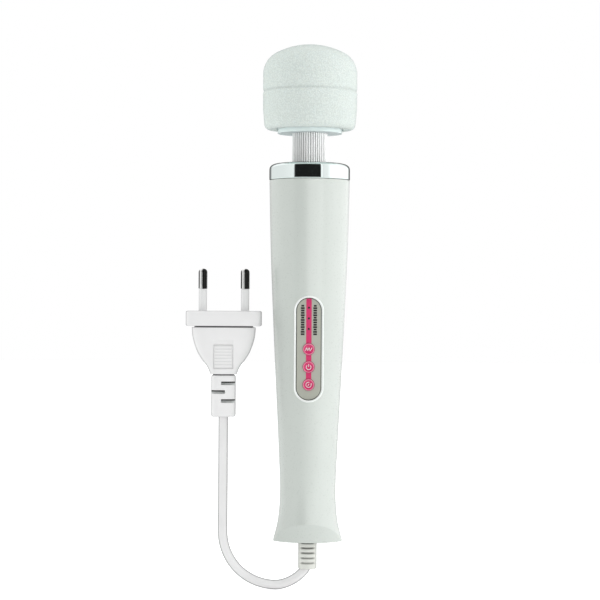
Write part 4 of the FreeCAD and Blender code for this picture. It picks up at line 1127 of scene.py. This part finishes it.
def build_plug_leads():
    """The two conductors that fan out from the jacket's end to the pins."""
    for side, name in ((-1, "left"), (1, "right")):
        near, far = PLUG_X + side * 1.1, PLUG_X + side * PIN_PITCH / 2
        corners = [(near, CORD_END_Z + 0.1), (near, 55.0), (far, 69.0), (far, 74.9)]
        points = []
        for (x0, z0), (x1, z1) in zip(corners, corners[1:]):
            steps = int(z1 - z0)
            for i in range(steps):
                points.append(Vector((x0 + (x1 - x0) * i / steps, 0, z0 + (z1 - z0) * i / steps)))
        points.append(Vector((corners[-1][0], 0, corners[-1][1])))
        lead = piece(f"plug_lead_{name}", *cord_mesh(points, LEAD_R, 12), "wire_sleeve", 40)
        blend_at_plug(lead)
        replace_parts(lead, "plug_wires")


def relief_groove(angle, depth):
    """1 in the middle of one of the five grooves cut front and back, 0 outside them."""
    first, pitch, width = 0.8, 2.25, 0.4
    groove = 0.0
    for i in range(BOOT_GROOVES):
        offset = abs(depth - (first + pitch * i)) / width
        groove = max(groove, (1 - offset ** 4) * (1 - 0.1 * i)) if offset < 1 else groove
    facing = abs(math.sin(angle))
    return groove * min(1.0, max(0.0, (facing - 0.62) / 0.12))


def cord_centre(depth):
    """The cord's x where it passes a depth below the heel."""
    return min(cable_points()[:40], key=lambda p: abs(HEEL_Z - depth - p.z)).x


def build_strain_relief():
    length = BOOT_LENGTH
    count = 96
    rings = []
    shade = []
    for radius, z in ((5.6, 4.5), (5.6, 2.55), (4.05, 2.55), (4.05, -0.1)):
        rings.append([(x, y, HEEL_Z + z) for x, y, _ in circle(radius, 0, count)])
        shade += [0.0] * count
    for depth in steps_between(0.12, length - 0.35, 0.1):
        ring = []
        for k in range(count):
            angle = TAU * k / count
            groove = relief_groove(angle, depth)
            # The groove's share also darkens the boot there: painted shade in the grooves.
            shade.append(groove)
            radius = BOOT_R - 1.3 * groove
            ring.append((radius * math.cos(angle), radius * math.sin(angle), HEEL_Z - depth))
        rings.append(ring)
    foot = cord_centre(length)
    for radius, depth, x in ((4.05, length - 0.1, 0), (3.85, length, 0), (2.14, length, foot), (2.14, 9.0, 0),
                             (2.14, 4.0, 0), (1.95, 1.0, 0)):
        rings.append(circle(radius, HEEL_Z - depth, count, x))
    rings.append(circle(1.95, HEEL_Z + 4.5, count))
    verts, faces = skin(rings, loop=True)
    shade += [0.0] * (len(verts) - len(shade))
    relief = piece("heel_boot", verts, faces, "cord_white", 40, shade, "boot_white")
    blend_at_heel(relief)
    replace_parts(relief, "strain_relief")


def rounded_section(width, depth, z, power=3.2, count=96, x=0.0):
    """A superellipse ring: the higher the power, the squarer the corners."""
    ring = []
    for k in range(count):
        angle = TAU * k / count
        cos, sin = math.cos(angle), math.sin(angle)
        ring.append((x + width / 2 * math.copysign(abs(cos) ** (2 / power), cos),
                     depth / 2 * math.copysign(abs(sin) ** (2 / power), sin), z))
    return ring


def plug_size(z):
    """Width and depth of the moulded grip at a height."""
    return smooth_through(PLUG_WIDTHS, z), smooth_through(PLUG_DEPTHS, z)


def grip_relief(x, z):
    """Depth pressed into the grip's face: a framed pad of fine finger ribs with a raised tab above it."""
    half, low, high, tab = 4.6, 56.0, 67.2, 69.2
    if abs(x) > half or z < low or z > tab:
        return 0.0
    if z > high:
        rise = min((z - high) / 0.5, (tab - z) / 0.5, (half - abs(x)) / 0.5, 1.0)
        return -0.25 * rise
    inside = min(half - abs(x), z - low, high - z)
    if inside < 0.75:
        return 0.36 * math.exp(-((inside - 0.35) / 0.22) ** 2)
    return 0.17 * (0.5 - 0.5 * math.cos(TAU * (z - low) / 1.4)) ** 2


def build_plug():
    top = low_mm("plug_bridge").z - 0.05
    low = high_mm("plug_boot").z + 0.05
    rings = []
    shade = []
    ends = {low: 2.0, low + 0.45: 2.0, top - 0.5: 2.4, top: 2.4}
    for z in [low, low + 0.45] + steps_between(low + 0.6, top - 0.65, 0.14) + [top - 0.5, top]:
        width, depth = plug_size(z)
        ease = ends.get(z, 0.0)
        ring = rounded_section(width - ease, depth - ease, z, 3.0, 240, PLUG_X)
        pressed = [grip_relief(x - PLUG_X, z) if abs(y) > depth * 0.3 else 0.0 for x, y, _ in ring]
        rings.append([(x, y - math.copysign(press, y), z) for (x, y, _), press in zip(ring, pressed)])
        # The eased ends take full painted shade, a painted shadow line under the bridge and over the boot; the
        # pressed frame and ribs take painted shade by their depth.
        shade += [1.0 if ease else max(0.0, press) for press in pressed]
    body = piece("plug_grip", *skin(rings), "plug_white", 50, shade)
    hold(body, "plug", "plug_body")
    build_bridge(top + 0.05)
    build_plug_boot(low - 0.05)
    build_plug_leads()
    build_pins()


def build_bridge(low):
    """The hard block behind the pins, with eased edges all round."""
    high = high_mm("plug_bridge").z
    ease = 0.55
    layers = [(low, ease), (low + 0.12, 0.22), (low + ease, 0.0),
              (high - ease, 0.0), (high - 0.12, 0.22), (high, ease)]
    width, depth = BRIDGE_SIZE
    rings = [rounded_section(width - 2 * e, depth - 2 * e, z, 5.0, 128, PLUG_X) for z, e in layers]
    bridge = piece("pin_block", *skin(rings), "plug_white", 50)
    hold(bridge, "plug", "plug_bridge")


def build_plug_boot(top):
    """The slotted boot between the cord and the plug."""
    low = low_mm("plug_boot").z
    layers = [(low, 0.7), (low + 0.25, 0.25), (low + 0.8, 0.0)]
    layers += [(z, 0.0) for z in steps_between(low + 1.6, top - 0.6, 0.8)] + [(top, 0.3)]
    width, depth = PLUG_BOOT_SIZE
    rings = [rounded_section(width - 2 * e, depth - 2 * e, z, 3.4, 64, PLUG_X) for z, e in layers]
    boot = piece("plug_boot_soft", *skin(rings), "plug_white", 40)
    slots = []
    for side, z in PLUG_BOOT_SLOTS:
        near, far = sorted((side * -0.9, side * 8.0))
        # Each slot is cut twice, so its upper walls take painted shade and its lower walls a lighter painted
        # grey.
        for low_z, high_z, look in ((z + 0.85, z + 1.6, "slot_shade"), (z, z + 1.0, "slot_light")):
            outline = rounded_box(near, far, low_z, high_z, 0.35)
            for front in (-1, 1):
                verts, faces = slab(outline, *sorted((front * 2.5, front * 6.0)))
                slots.append(cutter([(v[0] + PLUG_X, v[1], v[2]) for v in verts], faces, look))
    cut(boot, *slots)
    crease(boot, 40)
    blend_at_plug(boot)
    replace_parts(boot, "plug_boot")


def rounded_box(x0, x1, z0, z1, r):
    points = bend((x1 - r, z1 - r), r, 0, 90, 5) + bend((x0 + r, z1 - r), r, 90, 180, 5)
    return points + bend((x0 + r, z0 + r), r, 180, 270, 5) + bend((x1 - r, z0 + r), r, 270, 360, 5)


def build_pins():
    face = high_mm("plug_bridge").z
    root, tip = low_mm("plug_pins").z, high_mm("plug_pins").z
    metal_low = tip - 9.0           # bare metal above this, sleeved below
    tip_r, tip_flat_r = 1.65, 0.35
    bore, outer = 1.52, 1.83        # the sleeve's two radii
    for side, name in ((-1, "left"), (1, "right")):
        x = PLUG_X + side * PIN_PITCH / 2
        core = [(0, root), (1.5, root), (1.5, metal_low - 0.02), (1.9, metal_low), (2.0, metal_low + 0.1)]
        profile = core + bend((tip_flat_r, tip - tip_r), tip_r, 0, 90, 10) + [(0, tip)]
        metal = piece(f"pin_{name}", *lathe(profile, 48, x), "pin_metal", 40)
        hold(metal, "plug", "plug_pins")
        sleeve = [(bore, face - 2.0), (outer, face - 2.0), (outer, face + 0.2), (outer, metal_low - 0.35),
                  (outer - 0.08, metal_low - 0.08), (bore, metal_low - 0.06)]
        cover = piece(f"pin_sleeve_{name}", *lathe(sleeve, 48, x), "pin_sleeve_white", 40)
        hold(cover, "plug", "pin_sleeves")


# ---------------------------------------------------------------- studio

def studio_world():
    """White all round for the eye; for reflections, two bright sides with a dark room behind the camera."""
    world = bpy.data.worlds.new("studio")
    bpy.context.scene.world = world
    world.use_nodes = True
    tree = world.node_tree
    tree.nodes.clear()
    path = node(tree, "ShaderNodeLightPath")
    direction = node(tree, "ShaderNodeTexCoord").outputs["Generated"]
    split = node(tree, "ShaderNodeSeparateXYZ", Vector=direction)
    # On an upright mirror seen along +Y, X over 1 - Y is the tangent of the bearing of the spot that shows
    # this direction, and Z over 1 - Y is the tangent of that spot's upward lean.
    forward = arithmetic(tree, "SUBTRACT", 1.0, split.outputs["Y"])
    bearing = arithmetic(tree, "ARCTAN2", split.outputs["X"], forward)
    lean = arithmetic(tree, "DIVIDE", split.outputs["Z"], forward)
    stops = [(-90, 0.54), (-40, 0.57), (-23, 0.62), (-21.5, 0.008), (15.5, 0.008), (17, 0.9), (18.5, 0.58),
             (26, 0.62), (34, 0.9), (90, 0.9)]
    walls = grey_ramp(tree, mapped(tree, bearing, 0, 1, -math.pi / 2, math.pi / 2),
                      [((angle + 90) / 180, level) for angle, level in stops])
    room = mixed_colour(tree, mapped(tree, lean, 0, 1, 0.85, 0.95), walls, (0.7, 0.7, 0.7))
    shades = ((1, 1, 1), 1.0), ((0.96, 1.0, 0.98), 0.80), (room, 1.5)
    seen, soft, mirrored = [node(tree, "ShaderNodeBackground", Color=colour, Strength=strength).outputs[0]
                            for colour, strength in shades]
    unseen = mixed_shader(tree, path.outputs["Is Glossy Ray"], soft, mirrored)
    whole = mixed_shader(tree, path.outputs["Is Camera Ray"], unseen, seen)
    node(tree, "ShaderNodeOutputWorld", Surface=whole)


def mixed_shader(tree, factor, first, second):
    made = node(tree, "ShaderNodeMixShader")
    for socket, value in zip(made.inputs, (factor, first, second)):
        set_input(socket, value)
    return made.outputs[0]


def softbox(name, azimuth, distance, height, size, power, colour=(1, 1, 1), target_z=0.08):
    """A rectangular light that faces a point on the object's axis from an azimuth: 0 is the camera's side."""
    light = bpy.data.lights.new(name, "AREA")
    light.shape = "RECTANGLE"
    light.size, light.size_y = size
    light.energy = power
    light.color = colour
    obj = bpy.data.objects.new(name, light)
    bpy.context.scene.collection.objects.link(obj)
    angle = math.radians(azimuth)
    obj.location = (math.sin(angle) * distance, -math.cos(angle) * distance, height)
    target = Vector((0, 0, target_z))
    obj.rotation_euler = (target - obj.location).to_track_quat("-Z", "Y").to_euler()
    return obj


def build_floor():
    """A pale glossy floor that fades to the white of the room."""
    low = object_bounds()[0].z - 0.0002
    reach = 3.0
    mesh = bpy.data.meshes.new("floor")
    mesh.from_pydata([(-reach, -reach, low), (reach, -reach, low), (reach, reach, low), (-reach, reach, low)],
                     [], [(0, 1, 2, 3)])
    floor = bpy.data.objects.new("floor", mesh)
    bpy.context.scene.collection.objects.link(floor)
    tree, shader = new_material("floor_white")
    fine = noise_value(tree, object_point(tree), 40.0)
    seen = node(tree, "ShaderNodeLightPath").outputs["Is Camera Ray"]
    feed(shader, Roughness=mapped(tree, fine, 0.28, 0.36), Specular_IOR_Level=0.15,
         Base_Color=mixed_colour(tree, fine, (0.86, 0.87, 0.87), (0.9, 0.9, 0.9)),
         Emission_Color=(1, 1, 1), Emission_Strength=mapped(tree, seen, 0.16, 0.5, 0.0, 1.0))
    mesh.materials.append(MATERIALS["floor_white"])


def build_camera():
    camera = bpy.data.objects.new("camera", bpy.data.cameras.new("camera"))
    bpy.context.scene.collection.objects.link(camera)
    camera.data.sensor_width = 36.0
    camera.data.lens = 36.0 / 2 * 832.0 / 135.0
    camera.data.clip_start, camera.data.clip_end = 0.01, 20
    camera.location = (-0.0040, -0.832, 0.0872)
    camera.rotation_euler = (math.pi / 2, math.radians(-0.35), 0)
    bpy.context.scene.camera = camera


def build_studio():
    studio_world()
    softbox("right_softbox", 78, 0.7, 0.12, (0.35, 0.8), 1.75)
    softbox("left_softbox", -108, 0.8, 0.12, (0.3, 0.8), 1.5, (0.97, 1.0, 0.98))
    softbox("top_softbox", 20, 0.35, 0.75, (0.6, 0.6), 0.7)
    heel = softbox("heel_softbox", 52, 0.28, -0.06, (0.1, 0.14), 0.32, (0.95, 0.98, 1.0), target_z=-0.01)
    heel.light_linking.receiver_collection = SHELLS
    neck = softbox("neck_softbox", 55, 0.25, 0.15, (0.06, 0.06), 0.16, target_z=0.155)
    neck.light_linking.receiver_collection = SLEEVES
    for light in bpy.data.objects:
        if light.type == "LIGHT":
            light.visible_glossy = False
    card = softbox("handle_card", 16, 0.75, 0.09, (0.62, 1.4), 3.4)
    card.visible_diffuse = False
    card.visible_camera = False
    card.light_linking.receiver_collection = SHELLS
    build_floor()
    build_camera()
    bpy.context.scene.view_settings.view_transform = "Standard"


# ---------------------------------------------------------------- build

finish_frame_parts()
build_casing()
build_collar()
build_neck()
build_head_cover()
build_buttons()
build_print()
build_lights()
build_cable()
build_strain_relief()
build_plug()
build_studio()
